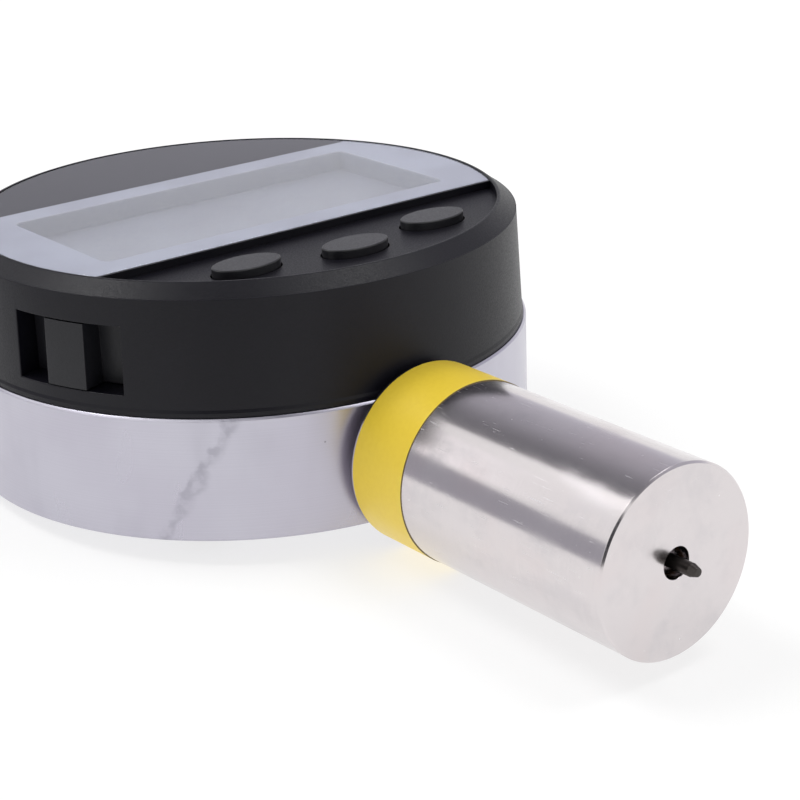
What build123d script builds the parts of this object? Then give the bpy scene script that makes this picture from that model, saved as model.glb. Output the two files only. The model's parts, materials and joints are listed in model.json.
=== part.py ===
from build123d import *
import os
from math import cos, radians, sin, sqrt, tan

os.makedirs("parts", exist_ok=True)

# A digital Shore A hardness tester: a round head, half turned metal case and half moulded display
# housing, with a sprung probe screwed into its rim.
# Frame: the origin is the centre of the flat back, +Z comes out through the display, and -Y runs
# along the probe to the indenter's tip. Sizes are in millimetres.

# ---------------------------------------------------------------- sizes: turned case
case_radius = 30.0
case_height = 12.5
case_back = 2.0
case_wall = 3.0
case_rim_chamfer = 0.4
case_back_fillet = 0.3

# ---------------------------------------------------------------- sizes: moulded housing
housing_wall = 1.7
lip_inset = 0.3
lip_height = 0.5
lip_slope = 0.3
wall_inset = 0.4
wall_draft = 0.45
bezel_step = 0.1
bezel_width = 1.6
bezel_height = 1.25
bezel_flat = 0.3
panel_thickness = 1.2
register_clearance = 0.1
register_thickness = 1.0
register_depth = 1.2
register_shoulder = 1.5

# ---------------------------------------------------------------- sizes: window, its frame and LCD
window_near_margin = 15.05
window_far_margin = 13.95
lens_thickness = 0.55
lens_gap = 0.1
lens_shy = 0.05
lens_edge = 0.1
rim_width = 0.35
rim_drop = 0.05
frame_flange = 0.3
frame_wall = 0.5
frame_foot = 0.7
frame_gap = 0.1
aperture_end_margin = 6.25
aperture_near_margin = 3.5
aperture_far_margin = 3.2
aperture_corner = 0.8
lcd_margin = 1.0
lcd_glass = 0.4
lcd_ledge = 2.4
holder_floor = 0.3
holder_wall = 1.0
holder_gap = 0.05
holder_rim = 1.9
zebra_width = 1.4
zebra_end_margin = 3.9
leg_size = 2.2
inner_leg_x = 4.4

# ---------------------------------------------------------------- sizes: buttons
button_x_radius = 3.7
button_y_radius = 2.15
button_gap = 0.15
button_flange = 0.3
flange_thickness = 0.8
button_edge = 0.2
button_post_gap = 0.15
side_button_margin = 8.75
middle_button_margin = 6.65
button_travel = 0.4
stem_radius = 1.2
dome_radius = 2.2
dome_floor = 0.2
dome_sheet = 0.15

# ---------------------------------------------------------------- sizes: cell and its drawer
cell_radius = 5.8
cell_height = 5.4
cell_cap_height = 0.25
cell_cap_inset = 0.9
cell_gap = 0.1
drawer_angle = 201.5
drawer_gap = 0.1
drawer_sill = 2.0
drawer_side = 0.3
tray_floor = 0.7
tray_end = 0.6
tray_end_height = 1.8
side_rail = 0.6
cell_headroom = 0.4
pull_recess = 2.65
pull_width = 4.6
front_plate = 1.9
guide_wall = 1.0
guide_lip = 0.7
guide_stop_height = 3.0
contact_sheet = 0.15
contact_width = 2.6
contact_spread = 1.9
contact_foot = 2.4
contact_reach = 9.0

# ---------------------------------------------------------------- sizes: boards and their fasteners
board_edge_gap = 0.6
board_thickness = 1.0
board_drop = 4.1
board_clearance = 0.3
post_inset = 2.3
post_radius = 2.0
post_start_angle = 45
near_post_angle = 225
case_screw_radius = 1.25
case_screw_head_radius = 2.2
case_screw_head = 1.1
case_screw_cross = 2.6
case_screw_reach = 8.0
head_clearance = 0.2
board_post_radius = 1.9
board_post_inset = 2.0
board_post_gap = 0.65
far_post_spacing = 5.0
middle_post_x = -3.0
middle_post_gap = 1.65
board_screw_radius = 1.0
board_screw_head_radius = 1.8
board_screw_head = 1.2
board_screw_reach = 3.0
chip_size = 9.0
chip_height = 1.4
chip_chamfer = 0.3
chip_x = 9.0
chip_y = 4.5
driver_slot = 0.5
driver_slot_depth = 0.5

# ---------------------------------------------------------------- sizes: probe
probe_radius = 9.0
barrel_gap = 0.4
barrel_bore = 6.0
barrel_chamfer = 0.2
foot_thickness = 2.5
foot_hole_radius = 1.5
spotface_clearance = 0.1
spigot_radius = 4.0
spigot_boss_depth = 2.6
spigot_boss_width = 15.0
boss_root = 0.5
boss_relief = 0.5
boss_top_gap = 0.2
plug_engagement = 6.0
plug_bore_gap = 0.3
label_thickness = 0.08
label_width = 7.5
label_setback = 0.2
lock_screw_radius = 1.5
lock_screw_setback = 2.15
hex_socket_radius = 0.75
hex_socket_depth = 1.0

# ---------------------------------------------------------------- sizes: sprung plunger
spindle_radius = 2.0
spindle_tail = 3.0
spindle_chamfer = 0.25
spindle_nose_gap = 0.8
running_clearance = 0.03
plunger_travel = 2.5
indenter_radius = 0.625
indenter_tip_radius = 0.395
indenter_cone = 35.0
indenter_grip = 4.0
bush_radius = 3.0
bush_length = 5.8
front_bush_length = 5.4
collar_radius = 5.0
collar_length = 3.0
collar_nose_radius = 3.5
collar_nose = 1.5
spring_radius = 4.15
spring_wire = 0.7
spring_length = 14.0
spring_turns = 9
adjuster_length = 3.0
slot_width = 1.2
slot_depth = 0.8

# ---------------------------------------------------------------- sizes: travel sensor
bracket_width = 22.0
bracket_length = 20.0
bracket_start = 1.0
bracket_floor = 1.4
bracket_side = 3.0
sensor_board_thickness = 1.0
sensor_gap = 0.3
scale_thickness = 0.3
scale_margin = 0.5
carrier_width = 12.0
carrier_length = 12.0
carrier_start = 5.0
carrier_above = 2.75
carrier_below = 2.0
guide_pin_radius = 1.0
guide_pin_setback = 2.0
guide_pin_gap = 0.4
guide_slot_clearance = 0.08
small_screw_radius = 0.8
small_screw_head_radius = 1.5
small_screw_head = 0.9
small_screw_reach = 1.3
ribbon_width = 8.0
ribbon_thickness = 0.2
ribbon_tail = 3.0
ribbon_centre = 4.0

# ---------------------------------------------------------------- levels, from the back face up
probe_height = case_height / 2
opening_height = tray_floor + cell_height + cell_headroom + 2 * drawer_gap
opening_bottom = case_height + drawer_sill
opening_top = opening_bottom + opening_height
tray_bottom = opening_bottom + drawer_gap
cell_bottom = tray_bottom + tray_floor
cell_top = cell_bottom + cell_height
guide_bottom = opening_bottom - guide_wall
holder_bottom = opening_top + drawer_gap
lcd_bottom = holder_bottom + holder_floor
lcd_top = lcd_bottom + 2 * lcd_glass
panel_under = lcd_top + frame_foot
panel_top = panel_under + panel_thickness
lens_bottom = panel_top + frame_flange
lens_top = lens_bottom + lens_thickness
head_height = lens_top + lens_shy
bezel_foot = head_height - bezel_height
shoulder_top = case_height + register_shoulder
board_top = panel_under - board_drop
board_bottom = board_top - board_thickness
button_top = lens_top
flange_bottom = panel_under - flange_thickness
dome_height = button_travel + dome_floor
stem_bottom = board_top + dome_height

# ---------------------------------------------------------------- radii of the head
case_inner_radius = case_radius - case_wall
lip_radius = case_radius - lip_inset
wall_foot_radius = case_radius - wall_inset
wall_top_radius = wall_foot_radius - wall_draft
bezel_outer_radius = wall_top_radius - bezel_step
bezel_inner_radius = bezel_outer_radius - bezel_width
face_radius = bezel_inner_radius - bezel_flat
register_radius = case_inner_radius - register_clearance
register_inner_radius = register_radius - register_thickness
board_radius = register_inner_radius - board_edge_gap
post_circle_radius = case_inner_radius - post_inset

# ---------------------------------------------------------------- the face: window, LCD and buttons
window_near = -(face_radius - window_near_margin)
window_far = face_radius - window_far_margin
rim_near = window_near - lens_gap - rim_width
aperture_near = window_near + aperture_near_margin
aperture_far = window_far - aperture_far_margin
aperture_width = 2 * (face_radius - aperture_end_margin)
aperture_height = aperture_far - aperture_near
aperture_centre = (aperture_far + aperture_near) / 2
frame_width = aperture_width + 2 * frame_wall
frame_height = aperture_height + 2 * frame_wall
lcd_width = aperture_width + 2 * lcd_margin
lcd_height = aperture_height + 2 * lcd_margin
lcd_far = aperture_far + lcd_margin
lcd_near = aperture_near - lcd_margin
holder_outer_width = lcd_width + 2 * (holder_gap + holder_wall)
holder_outer_height = lcd_height + 2 * (holder_gap + holder_wall)
holder_near = lcd_near - holder_gap - holder_wall
holder_far = lcd_far + holder_gap + holder_wall
zebra_length = lcd_width - 2 * zebra_end_margin
post_x = post_circle_radius * cos(radians(post_start_angle))
button_spread = post_x - post_radius - button_post_gap - button_flange - button_x_radius
side_button_y = -(face_radius - side_button_margin)
middle_button_y = -(face_radius - middle_button_margin)

# ---------------------------------------------------------------- the short posts for the main board
board_post_circle = board_radius - board_post_inset
far_post_x = post_x - far_post_spacing
far_post_y = sqrt(board_post_circle**2 - far_post_x**2)
near_post_level = holder_near - board_post_gap - board_post_radius
side_post_x = sqrt(board_post_circle**2 - near_post_level**2)
board_posts = [
    (-far_post_x, far_post_y),
    (far_post_x, far_post_y),
    (side_post_x, near_post_level),
    (middle_post_x, holder_near - middle_post_gap - board_post_radius),
]

# ---------------------------------------------------------------- distances along the probe
spotface_radius = barrel_bore + spotface_clearance
plug_seat = sqrt(case_radius**2 - spotface_radius**2)
boss_face = case_inner_radius - spigot_boss_depth
boss_top = case_height - boss_top_gap
barrel_rear = case_radius + barrel_gap
barrel_length = (
    plug_engagement + adjuster_length + spring_length + collar_length + front_bush_length + foot_thickness
)
probe_reach = barrel_rear + barrel_length
foot_inner = probe_reach - foot_thickness
plug_front = barrel_rear + plug_engagement
collar_front = foot_inner - front_bush_length
collar_rear = collar_front - collar_length
spring_rear = collar_rear - spring_length
spindle_front = foot_inner - spindle_nose_gap
indenter_tip = probe_reach + plunger_travel
carrier_end = carrier_start + carrier_length
guide_pin_distance = carrier_end - guide_pin_setback
carrier_top = probe_height + carrier_above
scale_top = carrier_top + scale_thickness
sensor_board_bottom = scale_top + sensor_gap
sensor_board_top = sensor_board_bottom + sensor_board_thickness
bracket_centre = bracket_start + bracket_length / 2
bracket_end = bracket_start + bracket_length

# ---------------------------------------------------------------- the drawer's own distances
drawer_width = 2 * (cell_radius + drawer_side)
opening_width = drawer_width + 2 * drawer_gap
guide_half_width = opening_width / 2 + guide_wall
pocket_radius = wall_foot_radius - pull_recess
plate_back = pocket_radius - front_plate
cell_centre = plate_back - cell_gap - cell_radius
tray_rear = cell_centre - cell_radius - cell_gap - tray_end
guide_rear = tray_rear - drawer_gap - guide_wall
guide_front = sqrt((wall_foot_radius - housing_wall / 2) ** 2 - guide_half_width**2)
lip_bottom = cell_top + drawer_gap

# ---------------------------------------------------------------- planes and axes
probe_axis = Axis((0, 0, probe_height), (0, -1, 0))
along_probe = Plane(origin=(0, 0, probe_height), x_dir=(0, -1, 0), z_dir=(-1, 0, 0))
drawer_direction = (cos(radians(drawer_angle)), sin(radians(drawer_angle)), 0)
drawer_floor = Plane(origin=(0, 0, 0), x_dir=drawer_direction, z_dir=(0, 0, 1))


def across_probe(distance):
    """A plane square to the probe, this far from the head's centre, with its Y pointing up."""
    return Plane(origin=(0, -distance, probe_height), x_dir=(1, 0, 0), z_dir=(0, -1, 0))


def at_height(height):
    """A level plane this far above the back face."""
    return Plane.XY.offset(height)


def drawer_level(height):
    """A level plane whose X runs out along the drawer's slide."""
    return drawer_floor.offset(height)


def middle(low, high):
    """Halfway between two places."""
    return (low + high) / 2


# ---------------------------------------------------------------- turned metal case
# A cup turned from bar. A flat boss inside its wall takes the probe's threaded spigot, and a spot
# face outside gives the spigot's shoulder a square seat on the round wall.
bracket_screw_spots = [
    (x, -(bracket_start + y))
    for x in (-(bracket_width - bracket_side) / 2, (bracket_width - bracket_side) / 2)
    for y in (bracket_side / 2, bracket_length - bracket_side / 2)
]

with BuildPart() as rear_case:
    with BuildSketch():
        Circle(case_radius)
    extrude(amount=case_height)
    chamfer(rear_case.edges().group_by(Axis.Z)[-1], case_rim_chamfer)
    fillet(rear_case.edges().group_by(Axis.Z)[0], case_back_fillet)
    with BuildSketch(at_height(case_back)):
        Circle(case_inner_radius)
    extrude(amount=case_height, mode=Mode.SUBTRACT)
    with BuildSketch(at_height(case_back)):
        with Locations((0, -middle(boss_face, case_inner_radius + boss_root))):
            Rectangle(spigot_boss_width, case_inner_radius + boss_root - boss_face)
    extrude(amount=boss_top - case_back)
    with BuildSketch(across_probe(plug_seat)):
        Circle(spotface_radius)
    extrude(amount=case_wall, mode=Mode.SUBTRACT)
    with BuildSketch(across_probe(boss_face)):
        Circle(spigot_radius)
    extrude(amount=case_wall + spigot_boss_depth, mode=Mode.SUBTRACT)
    with BuildSketch(at_height(probe_height)):
        with Locations((0, -(boss_face + lock_screw_setback))):
            Circle(lock_screw_radius)
    extrude(amount=case_height, mode=Mode.SUBTRACT)
    with BuildSketch():
        with PolarLocations(post_circle_radius, 4, start_angle=post_start_angle):
            Circle(case_screw_radius + head_clearance)
    extrude(amount=case_back, mode=Mode.SUBTRACT)
    with BuildSketch():
        with PolarLocations(post_circle_radius, 4, start_angle=post_start_angle):
            Circle(case_screw_head_radius + head_clearance)
    extrude(amount=case_screw_head + head_clearance / 2, mode=Mode.SUBTRACT)
    with BuildSketch(at_height(case_back - small_screw_reach)):
        with Locations(*bracket_screw_spots):
            Circle(small_screw_radius)
    extrude(amount=small_screw_reach, mode=Mode.SUBTRACT)
rear_case.part.label = "rear_case"
export_step(rear_case.part, "parts/rear_case.step")

# ---------------------------------------------------------------- moulded display housing
# One revolved shell carries the seam lip, the drafted wall, the sloping bezel, the sunken panel and
# the register that drops inside the metal case. Posts, the drawer's guide and the openings follow.
button_centres = {
    "left_button": (-button_spread, side_button_y),
    "middle_button": (0, middle_button_y),
    "right_button": (button_spread, side_button_y),
}

with BuildPart() as front_housing:
    with BuildSketch(Plane.XZ):
        with BuildLine():
            Polyline(
                (register_inner_radius, case_height - register_depth),
                (register_radius, case_height - register_depth),
                (register_radius, case_height),
                (lip_radius, case_height),
                (lip_radius, case_height + lip_height),
                (wall_foot_radius, case_height + lip_height + lip_slope),
                (wall_top_radius, bezel_foot),
                (bezel_outer_radius, bezel_foot),
                (bezel_inner_radius, head_height),
                (face_radius, head_height),
                (face_radius, panel_top),
                (0, panel_top),
                (0, panel_under),
                (wall_top_radius - housing_wall, panel_under),
                (wall_foot_radius - housing_wall, shoulder_top),
                (register_inner_radius, shoulder_top),
                close=True,
            )
        make_face()
    revolve(axis=Axis.Z)
    # The register stops short of the boss that holds the probe.
    with BuildSketch(at_height(case_height - register_depth)):
        with Locations((0, -case_inner_radius)):
            Rectangle(spigot_boss_width + 2 * boss_relief, 2 * (spigot_boss_depth + case_wall))
    extrude(amount=register_depth, mode=Mode.SUBTRACT)
    # The battery drawer runs in a tunnel with a floor, two sides and a low stop at its end.
    with BuildSketch(drawer_level(guide_bottom)):
        with Locations((middle(guide_rear, guide_front), 0)):
            Rectangle(guide_front - guide_rear, 2 * guide_half_width)
    extrude(amount=opening_top - guide_bottom)
    with BuildSketch(drawer_level(opening_bottom)):
        with Locations((middle(guide_rear + guide_wall, case_radius), 0)):
            Rectangle(case_radius - guide_rear - guide_wall, opening_width)
    extrude(amount=opening_height, mode=Mode.SUBTRACT)
    with BuildSketch(drawer_level(opening_bottom + guide_stop_height)):
        with Locations((guide_rear + guide_wall / 2, 0)):
            Rectangle(guide_wall, opening_width)
    extrude(amount=opening_height - guide_stop_height, mode=Mode.SUBTRACT)
    # Lips along the tunnel's sides keep the tray down.
    with BuildSketch(drawer_level(lip_bottom)):
        with Locations((middle(guide_rear, plate_back - drawer_gap), 0)):
            Rectangle(plate_back - drawer_gap - guide_rear, opening_width)
            Rectangle(plate_back - drawer_gap - guide_rear, opening_width - 2 * guide_lip, mode=Mode.SUBTRACT)
    extrude(amount=opening_top - lip_bottom)
    # Long posts reach down to the case's floor for the screws that hold the head together.
    with BuildSketch(at_height(panel_under)):
        with PolarLocations(post_circle_radius, 4, start_angle=post_start_angle):
            Circle(post_radius)
    extrude(amount=case_back - panel_under)
    with BuildSketch(at_height(case_back)):
        with PolarLocations(post_circle_radius, 4, start_angle=post_start_angle):
            Circle(case_screw_radius)
    extrude(amount=case_screw_reach, mode=Mode.SUBTRACT)
    # Short posts carry the main board.
    with BuildSketch(at_height(panel_under)):
        with Locations(*board_posts):
            Circle(board_post_radius)
    extrude(amount=-board_drop)
    with BuildSketch(at_height(board_top)):
        with Locations(*board_posts):
            Circle(board_screw_radius)
    extrude(amount=board_screw_reach, mode=Mode.SUBTRACT)
    # The panel opens for the LCD and for the three buttons.
    with BuildSketch(at_height(panel_under)):
        with Locations((0, aperture_centre)):
            Rectangle(frame_width + 2 * frame_gap, frame_height + 2 * frame_gap)
        with Locations(*button_centres.values()):
            Ellipse(button_x_radius + button_gap, button_y_radius + button_gap)
    extrude(amount=panel_thickness, mode=Mode.SUBTRACT)
    # A low rim along the near side of the window holds the lens in place.
    with BuildSketch(at_height(panel_top)):
        Circle(face_radius)
        with Locations((0, middle(rim_near, rim_near + rim_width))):
            Rectangle(2 * face_radius, rim_width, mode=Mode.INTERSECT)
    extrude(amount=lens_top - rim_drop - panel_top)
    # Beyond the window the panel is raised to the frame's height, so that it carries the lens too.
    with BuildSketch(at_height(panel_top)):
        Circle(face_radius)
        with Locations((0, middle(window_far, face_radius))):
            Rectangle(2 * face_radius, face_radius - window_far, mode=Mode.INTERSECT)
    extrude(amount=frame_flange)
front_housing.part.label = "front_housing"
export_step(front_housing.part, "parts/front_housing.step")

# ---------------------------------------------------------------- window lens and its frame
# One clear plate covers the window and the black face beyond it, flush with the bezel.
with BuildPart() as display_lens:
    with BuildSketch(at_height(lens_bottom)):
        Circle(face_radius - lens_gap)
        with Locations((0, middle(window_near, face_radius))):
            Rectangle(2 * face_radius, face_radius - window_near, mode=Mode.INTERSECT)
    extrude(amount=lens_thickness)
    chamfer(display_lens.faces().sort_by(Axis.Z)[-1].edges(), lens_edge)
display_lens.part.label = "display_lens"
export_step(display_lens.part, "parts/display_lens.step")

# The frame fills the strip under the lens and reaches down through the panel to hold the LCD.
with BuildPart() as window_frame:
    with BuildSketch(at_height(panel_top)):
        Circle(face_radius - lens_gap)
        with Locations((0, middle(window_near, window_far))):
            Rectangle(2 * face_radius, window_far - window_near, mode=Mode.INTERSECT)
    extrude(amount=frame_flange)
    with BuildSketch(at_height(lcd_top)):
        with Locations((0, aperture_centre)):
            Rectangle(frame_width, frame_height)
    extrude(amount=panel_top - lcd_top)
    with BuildSketch(at_height(lcd_top)):
        with Locations((0, aperture_centre)):
            RectangleRounded(aperture_width, aperture_height, aperture_corner)
    extrude(amount=lens_bottom - lcd_top, mode=Mode.SUBTRACT)
window_frame.part.label = "window_frame"
export_step(window_frame.part, "parts/window_frame.step")

# ---------------------------------------------------------------- LCD, its holder and rubber connector
# The upper glass overhangs the lower one on the far side, where the rubber connector touches it.
with BuildPart() as lcd_panel:
    with BuildSketch(at_height(lcd_bottom + lcd_glass)):
        with Locations((0, aperture_centre)):
            Rectangle(lcd_width, lcd_height)
    extrude(amount=lcd_glass)
    with BuildSketch(at_height(lcd_bottom)):
        with Locations((0, middle(lcd_near, lcd_far - lcd_ledge))):
            Rectangle(lcd_width, lcd_height - lcd_ledge)
    extrude(amount=lcd_glass)
lcd_panel.part.label = "lcd_panel"
export_step(lcd_panel.part, "parts/lcd_panel.step")

zebra_y = lcd_far - lcd_ledge / 2
rail_near = lcd_far - lcd_ledge - holder_wall
leg_spots = [
    (holder_outer_width / 2 - leg_size / 2, holder_near + leg_size / 2),
    (-inner_leg_x, holder_near + leg_size / 2),
]

with BuildPart() as lcd_holder:
    with BuildSketch(at_height(holder_bottom)):
        with Locations((0, aperture_centre)):
            Rectangle(holder_outer_width, holder_outer_height)
    extrude(amount=panel_under - holder_bottom)
    with BuildSketch(at_height(lcd_bottom)):
        with Locations((0, aperture_centre)):
            Rectangle(lcd_width + 2 * holder_gap, lcd_height + 2 * holder_gap)
    extrude(amount=panel_under - lcd_bottom, mode=Mode.SUBTRACT)
    with BuildSketch(at_height(holder_bottom)):
        with Locations((0, middle(lcd_near + holder_rim, rail_near))):
            Rectangle(lcd_width - 2 * holder_rim, rail_near - lcd_near - holder_rim)
    extrude(amount=holder_floor, mode=Mode.SUBTRACT)
    # A rail under the far edge and two legs stand on the board.
    with BuildSketch(at_height(board_top)):
        with Locations((0, middle(rail_near, holder_far))):
            Rectangle(zebra_length + 2 * holder_wall, holder_far - rail_near)
        with Locations(*leg_spots):
            Rectangle(leg_size, leg_size)
    extrude(amount=holder_bottom - board_top)
    with BuildSketch(at_height(board_top)):
        with Locations((0, zebra_y)):
            Rectangle(zebra_length + 2 * holder_gap, zebra_width + 2 * holder_gap)
    extrude(amount=lcd_bottom - board_top, mode=Mode.SUBTRACT)
lcd_holder.part.label = "lcd_holder"
export_step(lcd_holder.part, "parts/lcd_holder.step")

with BuildPart() as zebra_strip:
    with BuildSketch(at_height(board_top)):
        with Locations((0, zebra_y)):
            Rectangle(zebra_length, zebra_width)
    extrude(amount=lcd_bottom + lcd_glass - board_top)
zebra_strip.part.label = "zebra_strip"
export_step(zebra_strip.part, "parts/zebra_strip.step")

# ---------------------------------------------------------------- main board
# A round board, cut away for the four long posts and for the battery drawer's tunnel.
near_post_x = post_circle_radius * cos(radians(near_post_angle - drawer_angle))
near_post_y = post_circle_radius * sin(radians(near_post_angle - drawer_angle))

with BuildPart() as main_board:
    with BuildSketch(at_height(board_bottom)):
        Circle(board_radius)
        with PolarLocations(post_circle_radius, 4, start_angle=post_start_angle):
            Circle(post_radius + board_clearance, mode=Mode.SUBTRACT)
        with Locations(*board_posts):
            Circle(board_screw_radius + head_clearance / 2, mode=Mode.SUBTRACT)
    extrude(amount=board_thickness)
    with BuildSketch(drawer_level(board_bottom)):
        with Locations((middle(guide_rear - board_clearance, case_radius), 0)):
            Rectangle(case_radius - guide_rear + board_clearance, 2 * (guide_half_width + board_clearance))
        # The strip between the tunnel and the nearest long post goes too.
        with Locations((middle(near_post_x, case_radius), near_post_y / 2)):
            Rectangle(case_radius - near_post_x, near_post_y)
    extrude(amount=board_thickness, mode=Mode.SUBTRACT)
main_board.part.label = "main_board"
export_step(main_board.part, "parts/main_board.step")

with BuildPart() as controller_chip:
    with BuildSketch(at_height(board_bottom)):
        with Locations((chip_x, chip_y)):
            Rectangle(chip_size, chip_size)
    extrude(amount=-chip_height)
    chamfer(controller_chip.faces().sort_by(Axis.Z)[0].edges(), chip_chamfer)
controller_chip.part.label = "controller_chip"
export_step(controller_chip.part, "parts/controller_chip.step")

# ---------------------------------------------------------------- buttons and their snap domes
for name, centre in button_centres.items():
    with BuildPart() as button:
        with BuildSketch(at_height(flange_bottom)):
            with Locations(centre):
                Ellipse(button_x_radius + button_flange, button_y_radius + button_flange)
        extrude(amount=flange_thickness)
        with BuildSketch(at_height(flange_bottom)):
            with Locations(centre):
                Ellipse(button_x_radius, button_y_radius)
        extrude(amount=button_top - flange_bottom)
        fillet(button.faces().sort_by(Axis.Z)[-1].edges(), button_edge)
        with BuildSketch(at_height(flange_bottom)):
            with Locations(centre):
                Circle(stem_radius)
        extrude(amount=stem_bottom - flange_bottom)
    button.part.label = name
    export_step(button.part, f"parts/{name}.step")

# Each dome is a shallow cap of spring sheet, lying on the board under its button's stem.
dome_ball = (dome_radius**2 + dome_height**2) / (2 * dome_height)
dome_inner_radius = dome_radius - dome_sheet
dome_inner_height = dome_height - dome_sheet
dome_inner_ball = (dome_inner_radius**2 + dome_inner_height**2) / (2 * dome_inner_height)

for name, centre in button_centres.items():
    dome_name = name.replace("button", "dome")
    dome_section = Plane(origin=(*centre, board_top), x_dir=(1, 0, 0), z_dir=(0, -1, 0))
    with BuildPart() as dome:
        with BuildSketch(dome_section):
            with BuildLine():
                RadiusArc((dome_radius, 0), (0, dome_height), -dome_ball)
                Line((0, dome_height), (0, dome_inner_height))
                RadiusArc((0, dome_inner_height), (dome_inner_radius, 0), dome_inner_ball)
                Line((dome_inner_radius, 0), (dome_radius, 0))
            make_face()
        revolve(axis=Axis((*centre, board_top), (0, 0, 1)))
    dome.part.label = dome_name
    export_step(dome.part, f"parts/{dome_name}.step")

# ---------------------------------------------------------------- battery drawer, cell and contacts
# The drawer's curved front stands back from the wall and leaves a finger pocket each side of a
# pull rib, which comes out flush with the housing's drafted wall.
with BuildPart() as battery_drawer:
    with BuildSketch(drawer_level(tray_bottom)):
        with Locations((middle(tray_rear, pocket_radius), 0)):
            Rectangle(pocket_radius - tray_rear, drawer_width)
    extrude(amount=opening_height - 2 * drawer_gap)
    with BuildSketch(drawer_level(cell_top - cell_cap_height)):
        with Locations((middle(tray_rear, plate_back), 0)):
            Rectangle(plate_back - tray_rear, drawer_width)
    extrude(amount=opening_height, mode=Mode.SUBTRACT)
    with BuildSketch(drawer_level(cell_bottom)):
        with Locations((cell_centre, 0)):
            Circle(cell_radius + cell_gap)
    extrude(amount=cell_height, mode=Mode.SUBTRACT)
    with BuildSketch(drawer_level(cell_bottom + tray_end_height)):
        with Locations((middle(tray_rear, cell_centre), 0)):
            Rectangle(cell_centre - tray_rear, drawer_width - 2 * side_rail)
    extrude(amount=cell_height, mode=Mode.SUBTRACT)
    with BuildSketch(at_height(tray_bottom)):
        Circle(pocket_radius)
    extrude(amount=opening_height, mode=Mode.INTERSECT)
    with BuildSketch(drawer_level(tray_bottom)):
        with Locations((middle(plate_back, case_radius), 0)):
            Rectangle(case_radius - plate_back, pull_width)
    extrude(amount=opening_height - 2 * drawer_gap)
    # The drafted wall trims the rib's outer face.
    with BuildSketch(Plane.XZ):
        with BuildLine():
            Polyline(
                (0, case_height),
                (wall_foot_radius, case_height + lip_height + lip_slope),
                (wall_top_radius, bezel_foot),
                (0, bezel_foot),
                close=True,
            )
        make_face()
    revolve(axis=Axis.Z, mode=Mode.INTERSECT)
battery_drawer.part.label = "battery_drawer"
export_step(battery_drawer.part, "parts/battery_drawer.step")

with BuildPart() as battery_cell:
    with BuildSketch(drawer_level(cell_bottom)):
        with Locations((cell_centre, 0)):
            Circle(cell_radius)
    extrude(amount=cell_height - cell_cap_height)
    fillet(battery_cell.edges().group_by(Axis.Z)[0], cell_cap_height)
    with BuildSketch(drawer_level(cell_top - cell_cap_height)):
        with Locations((cell_centre, 0)):
            Circle(cell_radius - cell_cap_inset)
    extrude(amount=cell_cap_height)
battery_cell.part.label = "battery_cell"
export_step(battery_cell.part, "parts/battery_cell.step")

foot_end = guide_rear - board_clearance
foot_start = foot_end - contact_foot
leaf_level = cell_top + drawer_gap

# The top contact stands on the board and reaches out over the cell's cap.
contact_side = Plane(
    origin=(0, 0, 0),
    x_dir=drawer_direction,
    z_dir=(sin(radians(drawer_angle)), -cos(radians(drawer_angle)), 0),
)

with BuildPart() as contact_minus:
    with BuildSketch(contact_side.offset(-contact_spread)):
        with BuildLine():
            Polyline(
                (foot_start, board_top),
                (foot_end, board_top),
                (foot_end, leaf_level),
                (foot_end + contact_reach, leaf_level),
                (foot_end + contact_reach, leaf_level + contact_sheet),
                (foot_end - contact_sheet, leaf_level + contact_sheet),
                (foot_end - contact_sheet, board_top + contact_sheet),
                (foot_start, board_top + contact_sheet),
                close=True,
            )
        make_face()
    extrude(amount=contact_width / 2, both=True)
contact_minus.part.label = "contact_minus"
export_step(contact_minus.part, "parts/contact_minus.step")

# The side contact bends down behind the cell and bears on its can above the tray's end.
side_leaf = tray_rear + tray_end / 2
side_leaf_bottom = cell_bottom + tray_end_height + drawer_gap

with BuildPart() as contact_plus:
    with BuildSketch(contact_side.offset(contact_spread)):
        with BuildLine():
            Polyline(
                (foot_start, board_top),
                (side_leaf, board_top),
                (side_leaf, side_leaf_bottom),
                (side_leaf + contact_sheet, side_leaf_bottom),
                (side_leaf + contact_sheet, board_top + contact_sheet),
                (foot_start, board_top + contact_sheet),
                close=True,
            )
        make_face()
    extrude(amount=contact_width / 2, both=True)
contact_plus.part.label = "contact_plus"
export_step(contact_plus.part, "parts/contact_plus.step")

# ---------------------------------------------------------------- screws of the head and main board
with BuildPart() as housing_screws:
    with BuildSketch(at_height(case_screw_head + head_clearance / 2)):
        with PolarLocations(post_circle_radius, 4, start_angle=post_start_angle):
            Circle(case_screw_radius)
    extrude(amount=case_back + case_screw_reach - case_screw_head - head_clearance / 2)
    with BuildSketch(at_height(head_clearance / 2)):
        with PolarLocations(post_circle_radius, 4, start_angle=post_start_angle):
            Circle(case_screw_head_radius)
    extrude(amount=case_screw_head)
    with BuildSketch(at_height(head_clearance / 2)):
        with PolarLocations(post_circle_radius, 4, start_angle=post_start_angle):
            Rectangle(case_screw_cross, driver_slot)
            Rectangle(driver_slot, case_screw_cross)
    extrude(amount=driver_slot_depth, mode=Mode.SUBTRACT)
housing_screws.part.label = "housing_screws"
export_step(housing_screws.part, "parts/housing_screws.step")

with BuildPart() as board_screws:
    with BuildSketch(at_height(board_bottom)):
        with Locations(*board_posts):
            Circle(board_screw_radius)
    extrude(amount=board_thickness + board_screw_reach)
    with BuildSketch(at_height(board_bottom)):
        with Locations(*board_posts):
            Circle(board_screw_head_radius)
    extrude(amount=-board_screw_head)
board_screws.part.label = "board_screws"
export_step(board_screws.part, "parts/board_screws.step")

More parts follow.
